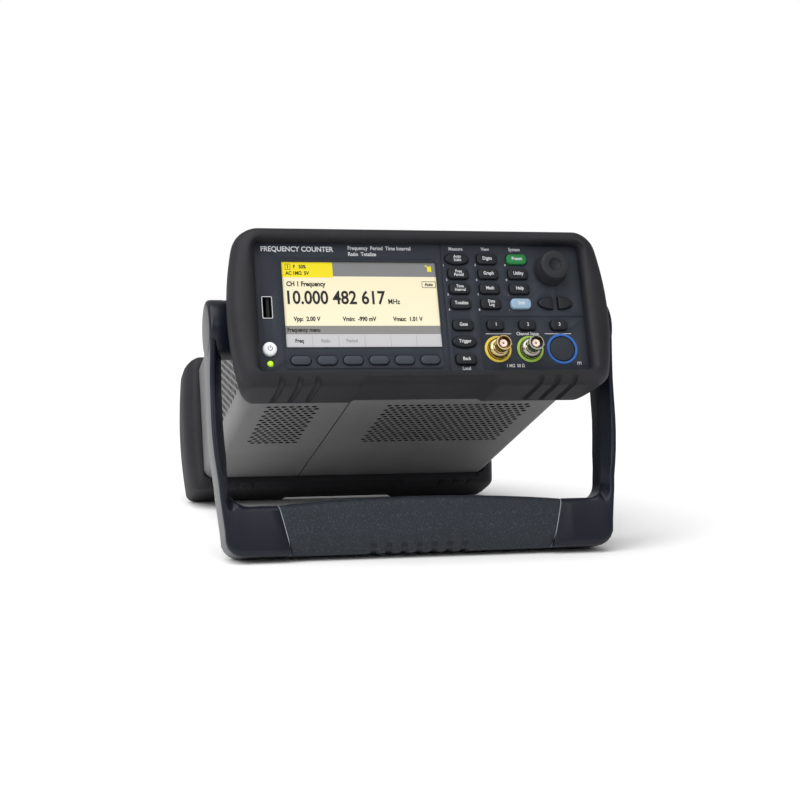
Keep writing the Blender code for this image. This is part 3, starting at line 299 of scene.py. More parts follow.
def soften(bm, width, segments, angle):  # bevels every edge sharper than the angle
    edges = [edge for edge in bm.edges
             if len(edge.link_faces) == 2 and edge.calc_face_angle(0) > math.radians(angle)]
    bmesh.ops.bevel(bm, geom=edges, offset=width, segments=segments, profile=0.5, affect="EDGES",
                    clamp_overlap=True, material=-1)
    return bm


def facePlate(width, height, radius, centre=(0, 0), y=0.0, segments=5):  # one rounded face looking forward
    bm = bmesh.new()
    bmesh.ops.create_grid(bm, x_segments=1, y_segments=1, size=0.5)
    bmesh.ops.scale(bm, vec=(width, height, 1), verts=bm.verts)
    if radius:
        bmesh.ops.bevel(bm, geom=bm.verts[:], offset=radius, segments=segments, profile=0.5,
                        affect="VERTICES", material=-1)
    bmesh.ops.rotate(bm, verts=bm.verts, matrix=Matrix.Rotation(math.radians(90), 3, "X"))
    bmesh.ops.translate(bm, vec=(centre[0], y, centre[1]), verts=bm.verts)
    return bm


def thicken(bm, depth, axis=(0, 1, 0)):  # a plate pushed to a solid
    grown = bmesh.ops.extrude_face_region(bm, geom=bm.faces[:])
    moved = [item for item in grown["geom"] if isinstance(item, bmesh.types.BMVert)]
    bmesh.ops.translate(bm, vec=Vector(axis) * depth, verts=moved)
    bmesh.ops.recalc_face_normals(bm, faces=bm.faces)
    return bm


def gather(shapes):  # several shapes in one
    whole = bmesh.new()
    for shape in shapes:
        mesh = meshFrom(shape, "gathered")
        whole.from_mesh(mesh)
        bpy.data.meshes.remove(mesh)
    return whole


def block(low, high):
    bm = bmesh.new()
    bmesh.ops.create_cube(bm, size=1)
    size = [high[axis] - low[axis] for axis in range(3)]
    centre = [(high[axis] + low[axis]) / 2 for axis in range(3)]
    bmesh.ops.scale(bm, vec=size, verts=bm.verts)
    bmesh.ops.translate(bm, vec=centre, verts=bm.verts)
    return bm


def rod(radius, start, end, segments=24):  # a cylinder between two points
    start, end = Vector(start), Vector(end)
    bm = bmesh.new()
    bmesh.ops.create_cone(bm, cap_ends=True, segments=segments, radius1=radius, radius2=radius,
                          depth=(end - start).length)
    turn = (end - start).to_track_quat("Z", "Y").to_matrix()
    bmesh.ops.rotate(bm, verts=bm.verts, matrix=turn)
    bmesh.ops.translate(bm, vec=(start + end) / 2, verts=bm.verts)
    return bm


def turned(profile, centre=(0, 0), steps=48, axis="Y"):  # (radius, depth) pairs spun about an axis
    bm = bmesh.new()
    corners = [bm.verts.new((centre[0] + radius, depth, centre[1])) for radius, depth in profile]
    edges = [bm.edges.new(pair) for pair in zip(corners, corners[1:])]
    if profile[0][0] > 0 or profile[-1][0] > 0:
        edges.append(bm.edges.new((corners[-1], corners[0])))
    bmesh.ops.spin(bm, geom=corners + edges, cent=(centre[0], 0, centre[1]), axis=(0, 1, 0),
                   angle=2 * math.pi, steps=steps, use_merge=True)
    bmesh.ops.remove_doubles(bm, verts=bm.verts, dist=weld)
    if axis == "X":
        bmesh.ops.rotate(bm, verts=bm.verts, matrix=Matrix.Rotation(math.radians(-90), 3, "Z"))
    return bm


def fillet(points, radii, steps=4):  # rounds each corner of an outline
    rounded = []
    count = len(points)
    for index, point in enumerate(points):
        here = Vector(point)
        before = Vector(points[index - 1])
        after = Vector(points[(index + 1) % count])
        reach = radii[index]
        first = here + (before - here).normalized() * min(reach, (before - here).length * 0.49)
        last = here + (after - here).normalized() * min(reach, (after - here).length * 0.49)
        for step in range(steps + 1):
            share = step / steps
            rounded.append(first.lerp(here, share).lerp(here.lerp(last, share), share))
    return rounded


def ringOf(bm, points):
    corners = [bm.verts.new(point) for point in points]
    return [bm.edges.new((corners[index - 1], corners[index])) for index in range(len(corners))]


def skin(rings, closed=False):  # a solid bridged from ring to ring
    bm = bmesh.new()
    loops = [ringOf(bm, ring) for ring in rings]
    pairs = list(zip(loops, loops[1:]))
    if closed:
        pairs.append((loops[-1], loops[0]))
    for first, second in pairs:
        bmesh.ops.bridge_loops(bm, edges=first + second)
    if not closed:
        for loop in (loops[0], loops[-1]):
            bmesh.ops.contextual_create(bm, geom=loop)
    return bm


def letters(text, size, centre, y, stretch=0.86, bold=0.012, align="CENTER", depth=0.03):
    curve = bpy.data.curves.new("letters", "FONT")
    curve.body = text
    curve.size = size
    curve.offset = bold * size
    curve.extrude = depth
    curve.resolution_u = 3
    curve.align_x = align
    curve.align_y = "CENTER"
    curve.space_line = 0.82
    holder = bpy.data.objects.new("letters", curve)
    bpy.context.scene.collection.objects.link(holder)
    graph = bpy.context.evaluated_depsgraph_get()
    mesh = bpy.data.meshes.new_from_object(holder.evaluated_get(graph))
    bm = bmesh.new()
    bm.from_mesh(mesh)
    bpy.data.objects.remove(holder)
    bpy.data.curves.remove(curve)
    bpy.data.meshes.remove(mesh)
    bmesh.ops.scale(bm, vec=(stretch, 1, 1), verts=bm.verts)
    bmesh.ops.rotate(bm, verts=bm.verts, matrix=Matrix.Rotation(math.radians(90), 3, "X"))
    bmesh.ops.translate(bm, vec=(centre[0], y, centre[1]), verts=bm.verts)
    return bm


bumper = {
    "halfWidth": 121.2, "top": 49.4, "bottom": 51.9, "bow": 6.5, "footX": 43.0, "footStep": 1.5,
    "seatX": 106.7, "seatZ": 44.45, "cornerSteps": 12, "sideSteps": 14, "lowCorner": 0.62,
    "cornerScale": 0.78, "hubHole": 20.2,
}

seatDrop = (bumper["top"] - bumper["seatZ"], bumper["bottom"] - bumper["seatZ"])


def bumperLoop(y, inset, topDrop, bottomDrop, radius, bowShare):
    half, bow = bumper["halfWidth"] - inset, bumper["bow"] * bowShare
    top, bottom = bumper["top"] - topDrop, bumper["bottom"] - bottomDrop
    steps, footX = bumper["cornerSteps"], bumper["footX"]
    radius *= bumper["cornerScale"] if radius > 8 else 1.0
    right = [(share * (half - radius) / 8, top) for share in range(1, 8)]
    for step in range(steps + 1):
        angle = math.radians(90 - 90 * step / steps)
        right.append((half - radius + radius * math.cos(angle), top - radius + radius * math.sin(angle)))
    low = radius * bumper["lowCorner"]
    for step in range(1, bumper["sideSteps"]):
        share = step / bumper["sideSteps"]
        right.append((half, (top - radius) * (1 - share) + (low - bottom) * share))
    for step in range(steps + 1):
        angle = math.radians(-90 * step / steps)
        right.append((half - low + low * math.cos(angle), low - bottom + low * math.sin(angle)))
    right += [(x, -bottom) for x in (footX + 12, footX + 3, footX, footX - 3, footX / 2)]
    middle, reach = (top - bottom) / 2 - 3, (top + bottom) / 2
    loop = []
    for x, z in right + [(-x, z) for x, z in reversed(right)]:
        pull = bow * ((z - middle) / reach) ** 2 if abs(x) > footX + 13 else 0.0
        if z < 0 and bottom > bumper["bottom"] - 3 and abs(x) <= footX:
            z += bumper["footStep"] * min(1.0, (footX - abs(x)) / 3)
        loop.append((x - math.copysign(pull, x) * abs(x) / half, y, z))
    return loop


def sideGrooves(radius, path):  # the same groove at three places on each side
    return [[pipe(radius, [(side * (70 + 11 * step), y, z) for y, z in path]) for step in range(3)]
            for side in (-1, 1)]


def pipe(radius, path, segments=16):  # a bent round cutter through the points of a path
    rings = []
    for index, point in enumerate(path):
        before = Vector(path[max(index - 1, 0)])
        after = Vector(path[min(index + 1, len(path) - 1)])
        turn = (after - before).to_track_quat("Z", "Y")
        angles = [2 * math.pi * step / segments for step in range(segments)]
        circle = [Vector((radius * math.cos(angle), radius * math.sin(angle), 0)) for angle in angles]
        rings.append([Vector(point) + turn @ spot for spot in circle])
    return skin(rings)


frontProfile = {"rear": 38.0, "lip": 104.4, "lipZ": 40.1}
frontGroove = ((-9.5, -48.3), (-5.8, -49.7), (-2.5, -51.3), (2.0, -52.0), (31.0, -52.0), (35.0, -55.0))


def makeFrontBumper():
    seat, rear = bumper["halfWidth"] - bumper["seatX"], frontProfile["rear"]
    lip, lipDrop = bumper["halfWidth"] - frontProfile["lip"], bumper["top"] - frontProfile["lipZ"]
    rows = [  # y, inset, drops of the top and the bottom, radius, share of the bow
        (rear, seat, *seatDrop, 7.0, 0),
        (rear, 11.2, 2.2, 2.2, 9.0, 0.5),
        (rear - 0.5, 10.3, 1.3, 1.2, 9.5, 0.55),
        (rear - 1.8, 9.2, 0.6, 0.5, 10.0, 0.6),
        (rear - 4.5, 7.4, 0.1, 0.1, 11.0, 0.7),
        (rear - 10, 5.0, 0, 0, 12.0, 0.8),
        (rear - 16, 3.0, 0, 0, 13.0, 0.9),
        (rear - 23, 1.2, 0, 0, 14.0, 1),
        (9.0, 0.2, 0, 0, 15.0, 1),
        (4.0, 0.0, 0, 0, 15.0, 1),
        (1.0, 0.2, 0.1, 0.1, 15.0, 1),
        (-1.6, 0.9, 0.5, 0.7, 15.0, 1),
        (-3.8, 2.0, 1.1, 1.6, 14.5, 1),
        (-5.6, 3.6, 2.0, 2.8, 13.5, 0.95),
        (-7.0, 5.8, 3.4, 4.3, 12.5, 0.85),
        (-7.75, 8.4, 5.0, 5.5, 11.0, 0.65),
        (-8.2, 10.8, 6.4, 6.3, 9.0, 0.4),
        (-8.0, 13.2, 7.6, 6.8, 7.0, 0.2),
        (-7.3, 14.8, lipDrop - 1.1, 7.1, 5.5, 0),
        (-6.2, 15.9, lipDrop - 0.5, 7.5, 4.6, 0),
        (-4.6, lip - 0.2, lipDrop - 0.1, 8.0, 4.0, 0),
        (-1.2, lip, lipDrop, 9.0, 3.6, 0),
        (-0.1, lip - 0.1, lipDrop - 0.1, 8.8, 3.7, 0),
        (0.6, seat, *seatDrop, 7.0, 0),
    ]
    shape = skin([bumperLoop(*row) for row in rows], closed=True)
    hubs = [rod(bumper["hubHole"], (side * 104, *pivot), (side * 128, *pivot), 64) for side in (-1, 1)]
    left, right = sideGrooves(2.1, frontGroove)
    return carve(shape, gather(hubs + left + right))


settle("front_bumper", makeFrontBumper(), "bumperRubber", smooth=50)


rearProfile = {"front": 246.0, "back": 294.0, "stop": 262.3}
rearGroove = ((243.5, -46.5), (245.0, -50.5), (249.0, -52.6), (262.0, -54.4))


def makeRearBumper():
    seat = bumper["halfWidth"] - bumper["seatX"]
    front, back, stop = rearProfile["front"], rearProfile["back"], rearProfile["stop"]
    rows = [  # y, inset, drops of the top and the bottom, radius, share of the bow
        (front, seat, *seatDrop, 7.0, 0),
        (stop, seat, *seatDrop, 7.0, 0),
        (stop, 19.0, 9.0, 11.5, 5.0, 0),
        (back - 8, 18.0, 8.4, 10.5, 5.6, 0),
        (back - 3, 17.0, 7.5, 9.5, 6.4, 0.1),
        (back - 0.8, 15.7, 6.7, 8.5, 6.8, 0.3),
        (back, 13.8, 5.6, 7.1, 7.2, 0.4),
        (back, 9.4, 4.2, 4.2, 8.3, 0.6),
        (back - 0.5, 7.6, 2.8, 2.7, 9.0, 0.65),
        (back - 1.7, 6.0, 1.6, 1.4, 9.7, 0.7),
        (back - 3.4, 4.6, 0.6, 0.7, 10.2, 0.6),
        (back - 6.5, 3.4, 0, 0, 10.4, 0.55),
        (back - 13, 2.75, 0, 0, 10.0, 0.5),
        (back - 22, 2.7, 0, 0, 9.6, 0.5),
        (front + 18, 2.7, 0, 0, 9.4, 0.5),
        (front + 12, 3.4, 0, 0, 9.2, 0.5),
        (front + 7, 5.0, 0, 0, 8.8, 0.45),
        (front + 3, 7.6, 0.3, 0.2, 8.2, 0.35),
        (front + 1.0, 9.6, 1.2, 1.1, 7.8, 0.3),
        (front, 11.2, 2.4, 2.4, 7.4, 0.3),
    ]
    shape = skin([bumperLoop(*row) for row in rows], closed=True)
    grooves = []
    for side, low in zip((-1, 1), sideGrooves(1.8, rearGroove)):
        for step, groove in enumerate(low):
            flank = [(side * 119.2, y, 7 * step - 14) for y in (260.0, 284.0)]
            grooves += [groove, pipe(1.2, flank, 12)]
        grooves.append(block((side * 100 - 1.6, 243, -47.5), (side * 100 + 1.6, 247.2, -40.0)))
    return carve(shape, gather(grooves))


settle("rear_bumper", makeRearBumper(), "bumperRubber", smooth=50)
print("bumpers made")


cover = {
    "width": 212.8, "height": 88.3, "radius": 7.0, "wall": 1.0, "front": 6.0, "rear": 256.0,
    "seamX": -37.0, "seamWidth": 0.7, "holeRadius": 1.85, "pitchX": 4.9, "pitchY": 5.0, "pinHole": 6.5,
}
ventFields = (  # side (0 is the bottom), first column, first row, columns, rows
    (0, -88.0, 68.5, 7, 18), (0, -9.0, 68.5, 20, 18), (-1, -30.0, 62.0, 13, 17), (1, -30.0, 62.0, 13, 17),
)


def ventHoles():
    low, edge, pitch = -cover["height"] / 2, cover["width"] / 2, cover["pitchX"]
    holes = []
    for side, start, first, columns, rows in ventFields:
        for index in range(rows * columns):
            row, column = divmod(index, columns)
            along = start + column * pitch + row % 2 * pitch / 2
            y = first + row * cover["pitchY"]
            ends = ((along, y, low - 1), (along, y, low + 2))
            if side:
                ends = ((side * (edge - 2), y, along), (side * (edge + 1), y, along))
            holes.append(rod(cover["holeRadius"], *ends, 8))
    return holes


def makeCover():
    wall, front, rear = cover["wall"], cover["front"], cover["rear"]
    outer = facePlate(cover["width"], cover["height"], cover["radius"], y=front, segments=10)
    thicken(outer, rear - front)
    inner = facePlate(cover["width"] - 2 * wall, cover["height"] - 2 * wall, cover["radius"] - wall,
                      y=front - 1, segments=10)
    thicken(inner, rear - front + 2)
    low, edge, half = -cover["height"] / 2, cover["width"] / 2, cover["seamWidth"] / 2
    cutters = [block((cover["seamX"] - half, front - 1, low - 0.5), (cover["seamX"] + half, rear + 1, low + 1.5))]
    for side in (-1, 1):
        cutters.append(rod(cover["pinHole"], (side * (edge - 3), *pivot), (side * (edge + 2), *pivot), 32))
    return carve(carve(outer, inner), gather(cutters + ventHoles()))


def insideSheet(face):  # the cut edges of the sheet: hole walls, seam and hems, which get near-black painted shade
    spot = face.calc_center_median()
    deepX = cover["width"] / 2 - abs(spot.x)
    deepZ = cover["height"] / 2 - abs(spot.z)
    return 0.1 < min(deepX, deepZ) < cover["wall"] + 2 and max(deepX, deepZ) > cover["radius"]


# the cut edges and inner faces of the sheet are painted near-black as shade
settle("cover", makeCover(), "coverPaint", smooth=30, second="coverHoleShade", chosen=insideSheet)


def makeVentShadeSheet():  # a near-black sheet inside the cover, behind the vents: painted shade seen through the holes
    gap = cover["wall"] + 0.5
    sheets = []
    for inset in (gap, gap + 0.4):
        shape = facePlate(cover["width"] - 2 * inset, cover["height"] - 2 * inset, cover["radius"] - inset, y=60.0)
        sheets.append(thicken(shape, 100.0))
    bmesh.ops.translate(sheets[1], verts=sheets[1].verts, vec=(0, -1, 0))
    bmesh.ops.scale(sheets[1], verts=sheets[1].verts, vec=(1, 1.05, 1))
    return carve(*sheets)


settle("vent_shade_sheet", makeVentShadeSheet(), "deepBlack")
print("cover made")


panelLayout = {
    "screen": {"centre": (-38.3, 0.5), "size": (97.6, 55.1)},
    "keyFirst": (24.3, 30.5), "keyPitch": (19.5, 9.9), "keySize": (13.0, 6.6), "ovalSize": (15.4, 7.4),
    "channelFirst": 45.3, "channelPitch": 20.8, "channelZ": -13.3, "channelSize": (10.8, 6.2),
    "softkeyFirst": -78.9, "softkeyPitch": 16.1, "softkeyZ": -35.6, "softkeySize": (12.2, 5.7),
    "arrowX": (79.5, 92.6), "arrowZ": 1.4, "arrowSize": (9.3, 8.2),
    "leftX": -97.5, "usbZ": -1.7, "powerZ": -28.3, "ledZ": -37.2,
    "socketX": (45.8, 66.8, 87.8), "socketZ": -28.6, "grooveX": 14.4,
}
keyCaptions = {
    "auto_scale_key": "Auto\nScale", "frequency_key": "Freq\nPeriod", "time_interval_key": "Time\nInterval",
    "totalize_key": "Totalize", "digits_key": "Digits", "graph_key": "Graph", "math_key": "Math",
    "data_log_key": "Data\nLog", "preset_key": "Preset", "utility_key": "Utility", "help_key": "Help",
    "shift_key": "Shift", "gate_key": "Gate", "trigger_key": "Trigger", "back_key": "Back",
    "channel_1_key": "1", "channel_2_key": "2", "channel_3_key": "3",
}


keyColumns = (
    ("auto_scale_key", "frequency_key", "time_interval_key", "totalize_key"),
    ("digits_key", "graph_key", "math_key", "data_log_key"),
    ("preset_key", "utility_key", "help_key", "shift_key"),
)
lowerKeys = {"gate_key": -13.3, "trigger_key": -24.2, "back_key": -35.6}  # heights in the first column


def keyPlaces():  # the name, kind, centre and size of every key
    lay = panelLayout
    (firstX, firstZ), (pitchX, pitchZ) = lay["keyFirst"], lay["keyPitch"]
    spots = [(name, (firstX + column * pitchX, firstZ - row * pitchZ))
             for column, names in enumerate(keyColumns) for row, name in enumerate(names)]
    spots += [(name, (firstX, z)) for name, z in lowerKeys.items()]
    places = []
    for name, spot in spots:
        oval = name in ("auto_scale_key", "trigger_key")
        places.append((name, "oval" if oval else "tablet", spot, lay["ovalSize" if oval else "keySize"]))
    for index in range(3):
        spot = (lay["channelFirst"] + index * lay["channelPitch"], lay["channelZ"])
        places.append((f"channel_{index + 1}_key", "tablet", spot, lay["channelSize"]))
    for side, x in zip(("left", "right"), lay["arrowX"]):
        places.append((side + "_arrow_key", side + "Half", (x, lay["arrowZ"]), lay["arrowSize"]))
    for index in range(6):
        spot = (lay["softkeyFirst"] + index * lay["softkeyPitch"], lay["softkeyZ"])
        places.append((f"softkey_{index + 1}", "stadium", spot, lay["softkeySize"]))
    return places


def keyRing(kind, centre, size, grow, y):  # the outline of a key, grown or shrunk, at one depth
    width, height = size[0] + 2 * grow, size[1] + 2 * grow
    steps = 10
    if kind in ("leftHalf", "rightHalf"):
        side = -1 if kind == "leftHalf" else 1
        flat = -side * width / 2
        points = [(flat, height / 2)]
        for step in range(1, 2 * steps):
            angle = math.radians(90 - 180 * step / (2 * steps))
            points.append((flat + side * width * math.cos(angle), height / 2 * math.sin(angle)))
        points.append((flat, -height / 2))
        corners = fillet([(x, z, 0) for x, z in points], [1.1] + [0.3] * (2 * steps - 1) + [1.1], 3)
        return [(centre[0] + point[0], y, centre[1] + point[1]) for point in corners]
    if kind == "oval":
        angles = [2 * math.pi * step / (4 * steps) for step in range(4 * steps)]
        return [(centre[0] + width / 2 * math.cos(a), y, centre[1] + height / 2 * math.sin(a)) for a in angles]
    radius = height / 2 if kind == "stadium" else max(0.4, 2.3 + grow)
    ring = []
    for cornerX, cornerZ, start in ((1, 1, 0), (-1, 1, 90), (-1, -1, 180), (1, -1, 270)):
        for step in range(steps + 1):
            angle = math.radians(start + 90 * step / steps)
            ring.append((centre[0] + cornerX * (width / 2 - radius) + radius * math.cos(angle), y,
                         centre[1] + cornerZ * (height / 2 - radius) * 0.999 + radius * math.sin(angle)))
    return ring


def makePanel():
    lay = panelLayout
    plate = facePlate(cover["width"], cover["height"], cover["radius"], y=0.0, segments=8)
    thicken(plate, 3.0)
    cutters = [skin([keyRing(kind, centre, size, 0.4, y) for y in (-1, 4)]) for _, kind, centre, size in keyPlaces()]
    (wide, tall), centre = lay["screen"]["size"], lay["screen"]["centre"]
    cutters.append(thicken(facePlate(wide + 0.6, tall + 0.6, 0.6, centre, -1), 5))
    cutters.append(thicken(facePlate(6.9, 14.7, 0.9, (lay["leftX"], lay["usbZ"]), -1), 5))
    rounds = [(lay["leftX"], lay["powerZ"], 4.8), (lay["leftX"], lay["ledZ"], 2.1), (*knobSpot, 4.8)]
    rounds += [(x, lay["socketZ"], radius) for x, radius in zip(lay["socketX"], (6.4, 6.4, 8.3))]
    cutters += [rod(radius, (x, -1, z), (x, 4, z), 40) for x, z, radius in rounds]
    cutters.append(block((lay["grooveX"] - 0.35, -1, -43.0), (lay["grooveX"] + 0.35, 0.5, 43.0)))
    zone = thicken(facePlate(80, 36.4, 2.0, (75.9, -25.2), -1), 1.35)  # the sunken ground of the input sockets
    return soften(carve(carve(plate, gather(cutters)), zone), 0.22, 2, 40)


settle("front_panel", makePanel(), "panelPlastic", smooth=32)


def framedLine(width, height, radius, centre, y, line, depth):  # a thin raised outline
    outer = thicken(facePlate(width, height, radius, centre, y, 6), depth)
    inner = thicken(facePlate(width - 2 * line, height - 2 * line, radius - line, centre, y - 1, 6), depth + 2)
    return carve(outer, inner)


displaySurround = framedLine(99.6, 71.5, 3.0, (-39.3, -5.0), -0.35, 0.55, 0.5)
settle("display_surround", displaySurround, "panelPlastic")
screenRim = framedLine(99.0, 56.5, 1.0, (-38.3, 0.5), -0.15, 0.7, 0.6)
settle("screen_rim", screenRim, "inputPlastic")
print("panel made")


keyLook = {"height": 2.0, "softkeyHeight": 1.2, "crown": 0.22}
keyFinish = {"preset_key": ("greenKeyRubber", "key_green"), "shift_key": ("blueKeyRubber", "key_blue")}


def makeKey(kind, centre, size, height):
    crown = keyLook["crown"]
    profile = [(0.9, 4.3), (0.9, 3.3), (0.0, 3.3), (0.0, 0.75 - height), (-0.06, 0.45 - height),
               (-0.22, 0.2 - height), (-0.47, 0.05 - height), (-0.8, -height), (-1.5, -height - crown * 0.5),
               (-2.2, -height - crown * 0.9), (-2.6, -height - crown)]
    return skin([keyRing(kind, centre, size, grow, y) for grow, y in profile])


for name, kind, centre, size in keyPlaces():
    soft = name.startswith("softkey")
    height = keyLook["softkeyHeight"] if soft else keyLook["height"]
    finish, slot = keyFinish.get(name, ("softkeyRubber", "softkey_grey") if soft else ("keyRubber", "key_dark"))
    settle(name, makeKey(kind, centre, size, height), finish, name)
    caption = keyCaptions.get(name)
    if caption:
        textSize = 2.75 if "\n" in caption else 3.1
        front = -height - keyLook["crown"] - 0.02
        words = letters(caption, textSize, (centre[0], centre[1] + 0.1), front, bold=0.014)
        settle(name + "_caption", words, "whitePrint", name)
print("keys made")


printing = {"y": -0.02, "inputY": 0.33, "ruleY": 0.32}  # depths of the lettering
headings = (  # text, size, place, weight, stretch, align
    ("Measure", 3.1, (24.3, 37.5), 0.018, 0.86, "CENTER"), ("View", 3.1, (43.6, 37.5), 0.018, 0.86, "CENTER"),
    ("System", 3.1, (62.8, 37.5), 0.018, 0.86, "CENTER"),
    ("FREQUENCY COUNTER", 4.6, (-99.5, 36.2), 0.02, 0.92, "LEFT"),
    ("Frequency  Period  Time Interval", 3.5, (-45.0, 37.3), 0.016, 0.86, "LEFT"),
    ("Ratio  Totalize", 3.5, (-45.0, 33.3), 0.016, 0.86, "LEFT"),
    ("Local", 3.0, (24.3, -41.2), 0.016, 0.86, "CENTER"),
)
words = [letters(text, size, spot, printing["y"], stretch, bold, align)
         for text, size, spot, bold, stretch, align in headings]
for mark, (_, _, centre, size) in zip("1234567890.-", keyPlaces()):
    spot = (centre[0] - size[0] / 2 - 1.1, centre[1] - size[1] / 2 - 0.4)
    words.append(letters(mark, 1.9, spot, printing["y"], bold=0.02))
settle("panel_printing", gather(words), "whitePrint")


def rule(width, height, x, z):  # a thin printed line
    return thicken(facePlate(width, height, 0, (x, z), printing["ruleY"]), 0.05)


inputMarks = [
    letters("Channel Setup", 2.9, (66.0, -18.6), printing["inputY"], bold=0.016),
    rule(16.5, 0.35, 47.0, -18.6), rule(17.5, 0.35, 86.0, -18.6),
    letters("1 MΩ  50 Ω", 2.8, (56.0, -39.6), printing["inputY"], bold=0.016),
    rule(2.6, 0.3, 98.0, -37.4),
]
inputMarks += [rule(0.3, 1.6, 96.9 + 1.1 * step, -38.3) for step in range(3)]
settle("input_printing", gather(inputMarks), "whitePrint")

screenLay = {"left": -87.1, "top": 28.05, "width": 97.6, "height": 55.1, "y": 0.75, "step": 0.04}


def screenPatch(x0, y0, x1, y1, level):
    centre = (screenLay["left"] + (x0 + x1) / 2, screenLay["top"] - (y0 + y1) / 2)
    return thicken(facePlate(x1 - x0, y1 - y0, 0, centre, screenLay["y"] - level * screenLay["step"]), 0.03)


def screenWords(text, size, x, y, level=3, align="LEFT", stretch=0.84, bold=0.036):
    spot = (screenLay["left"] + x, screenLay["top"] - y)
    return letters(text, size, spot, screenLay["y"] - level * screenLay["step"], stretch, bold, align, 0.01)


screenPatches = (  # piece, finish, left, top, right, bottom, level
    ("screen_tab", "screenYellow", 0, 0, 31.8, 9.9, 2),
    ("screen_strip", "screenGrey", 31.8, 0, screenLay["width"], 9.1, 1),
    ("screen_band", "screenBand", 0, 41.2, screenLay["width"], 46.6, 1),
    ("screen_menu", "screenPale", 0, 46.6, screenLay["width"], screenLay["height"], 1),
)
screenInk = (
    ("1", 3.2, 3.2, 3.1), ("F   50%", 3.2, 7.2, 3.1), ("AC 1MΩ  5V", 3.2, 2.4, 7.3),
    ("CH 1 Frequency", 4.3, 2.4, 14.3, 2), ("10.000 482 617", 12.0, 0.7, 23.4, 2, "LEFT", 0.835, 0.022),
    ("MHz", 4.7, 65.2, 25.6, 2, "LEFT", 0.84, 0.02), ("Vpp:  2.00 V", 3.9, 5.6, 36.9, 2),
    ("Vmin:  -990 mV", 3.9, 36.0, 36.9, 2), ("Vmax:  1.01 V", 3.9, 67.6, 36.9, 2),
    ("Frequency menu", 3.6, 1.2, 43.9, 2), ("Freq", 3.4, 8.2, 50.9, 2, "CENTER"),
    ("Auto", 3.0, 92.2, 14.2, 2, "CENTER"),
)
screenFaint = (("Ratio", 3.2, 24.4, 50.9, 2, "CENTER"), ("Period", 3.2, 40.7, 50.9, 2, "CENTER"))
screenFrames = ((9.0, 4.2, 0.5, 92.2, 14.2, 0.1), (3.4, 3.8, 0.3, 3.9, 3.1, 0.12))


def makeScreen():
    wide, tall, y = screenLay["width"], screenLay["height"], screenLay["y"]
    back = thicken(facePlate(wide + 0.2, tall + 0.2, 0.4, panelLayout["screen"]["centre"], y), 2.0)
    settle("display_window", back, "screenCream")
    for name, finish, *patch in screenPatches:
        settle(name, gather([screenPatch(*patch)]), finish)
    ink = [screenWords(*words) for words in screenInk]
    for width, height, radius, x, down, front in screenFrames:
        spot = (screenLay["left"] + x, screenLay["top"] - down)
        ink.append(framedLine(width, height, radius, spot, y - front, 0.3, 0.05))
    settle("screen_ink", gather(ink), "screenInk")
    faint = [screenWords(*words) for words in screenFaint]
    faint += [screenPatch(wide * step / 6 - 0.12, 47.4, wide * step / 6 + 0.12, 54.4, 2) for step in range(1, 6)]
    settle("screen_faint", gather(faint), "screenFaint")
    marker = [screenPatch(92.0, 2.2, 94.6, 5.6, 2), screenPatch(90.8, 1.4, 91.8, 2.4, 2)]
    settle("screen_marker", gather(marker), "screenYellow")


makeScreen()
print("screen made")

knobLook = {"front": -12.4, "face": 9.3, "base": 10.5}


def makeKnob():
    front, face, base = knobLook["front"], knobLook["face"], knobLook["base"]
    profile = [(0, front + 2.3), (2.2, front + 2.2), (3.2, front + 1.8), (3.8, front + 1.1), (4.05, front + 0.45),
               (4.3, front + 0.1), (4.7, front), (face - 1.6, front), (face - 0.8, front + 0.15),
               (face - 0.25, front + 0.6), (face, front + 1.3), (base - 0.3, -3.4), (base - 0.05, -2.6),
               (base, -1.9), (base - 0.1, -0.9), (3.0, -0.9), (3.0, 8.0), (0, 8.0)]
    return turned(profile, knobSpot, 72)


settle("knob", makeKnob(), "knobRubber", "knob", smooth=40)


def makePowerButton():
    profile = [(0, -1.95), (2.4, -1.9), (3.5, -1.7), (4.1, -1.3), (4.4, -0.7), (4.4, 3.3), (5.0, 3.3), (5.0, 4.3),
               (0, 4.3)]
    return turned(profile, (panelLayout["leftX"], panelLayout["powerZ"]), 48)


def makePowerMark():  # an open ring with a bar
    x, z = panelLayout["leftX"], panelLayout["powerZ"]
    ring = bmesh.new()
    profile = ((1.15, -2.02), (1.5, -2.02), (1.5, -1.85), (1.15, -1.85))
    ringOf(ring, [(x + radius, y, z) for radius, y in profile])
    ring.faces.new(ring.verts[:])
    bmesh.ops.spin(ring, geom=ring.verts[:] + ring.edges[:] + ring.faces[:], cent=(x, 0, z), axis=(0, 1, 0),
                   angle=math.radians(290), steps=24)
    bmesh.ops.rotate(ring, verts=ring.verts, cent=(x, 0, z), matrix=Matrix.Rotation(math.radians(-55), 3, "Y"))
    bar = thicken(facePlate(0.38, 1.5, 0, (x, z + 0.95), -2.02), 0.17)
    return gather([ring, bar])


settle("power_button", makePowerButton(), "powerWhite", "power_button")
settle("power_button_mark", makePowerMark(), "darkPrint", "power_button")
ledProfile = [(0, -0.6), (0.8, -0.5), (1.4, -0.15), (1.7, 0.35), (1.7, 3.6), (2.4, 3.6), (2.4, 5.0), (0, 5.0)]
statusLed = turned(ledProfile, (panelLayout["leftX"], panelLayout["ledZ"]), 32)
settle("status_led", statusLed, "lampGreen")
usbRim = framedLine(6.5, 14.3, 0.8, (panelLayout["leftX"], panelLayout["usbZ"]), -0.25, 0.45, 3.0)
settle("usb_rim", usbRim, "zincSteel")


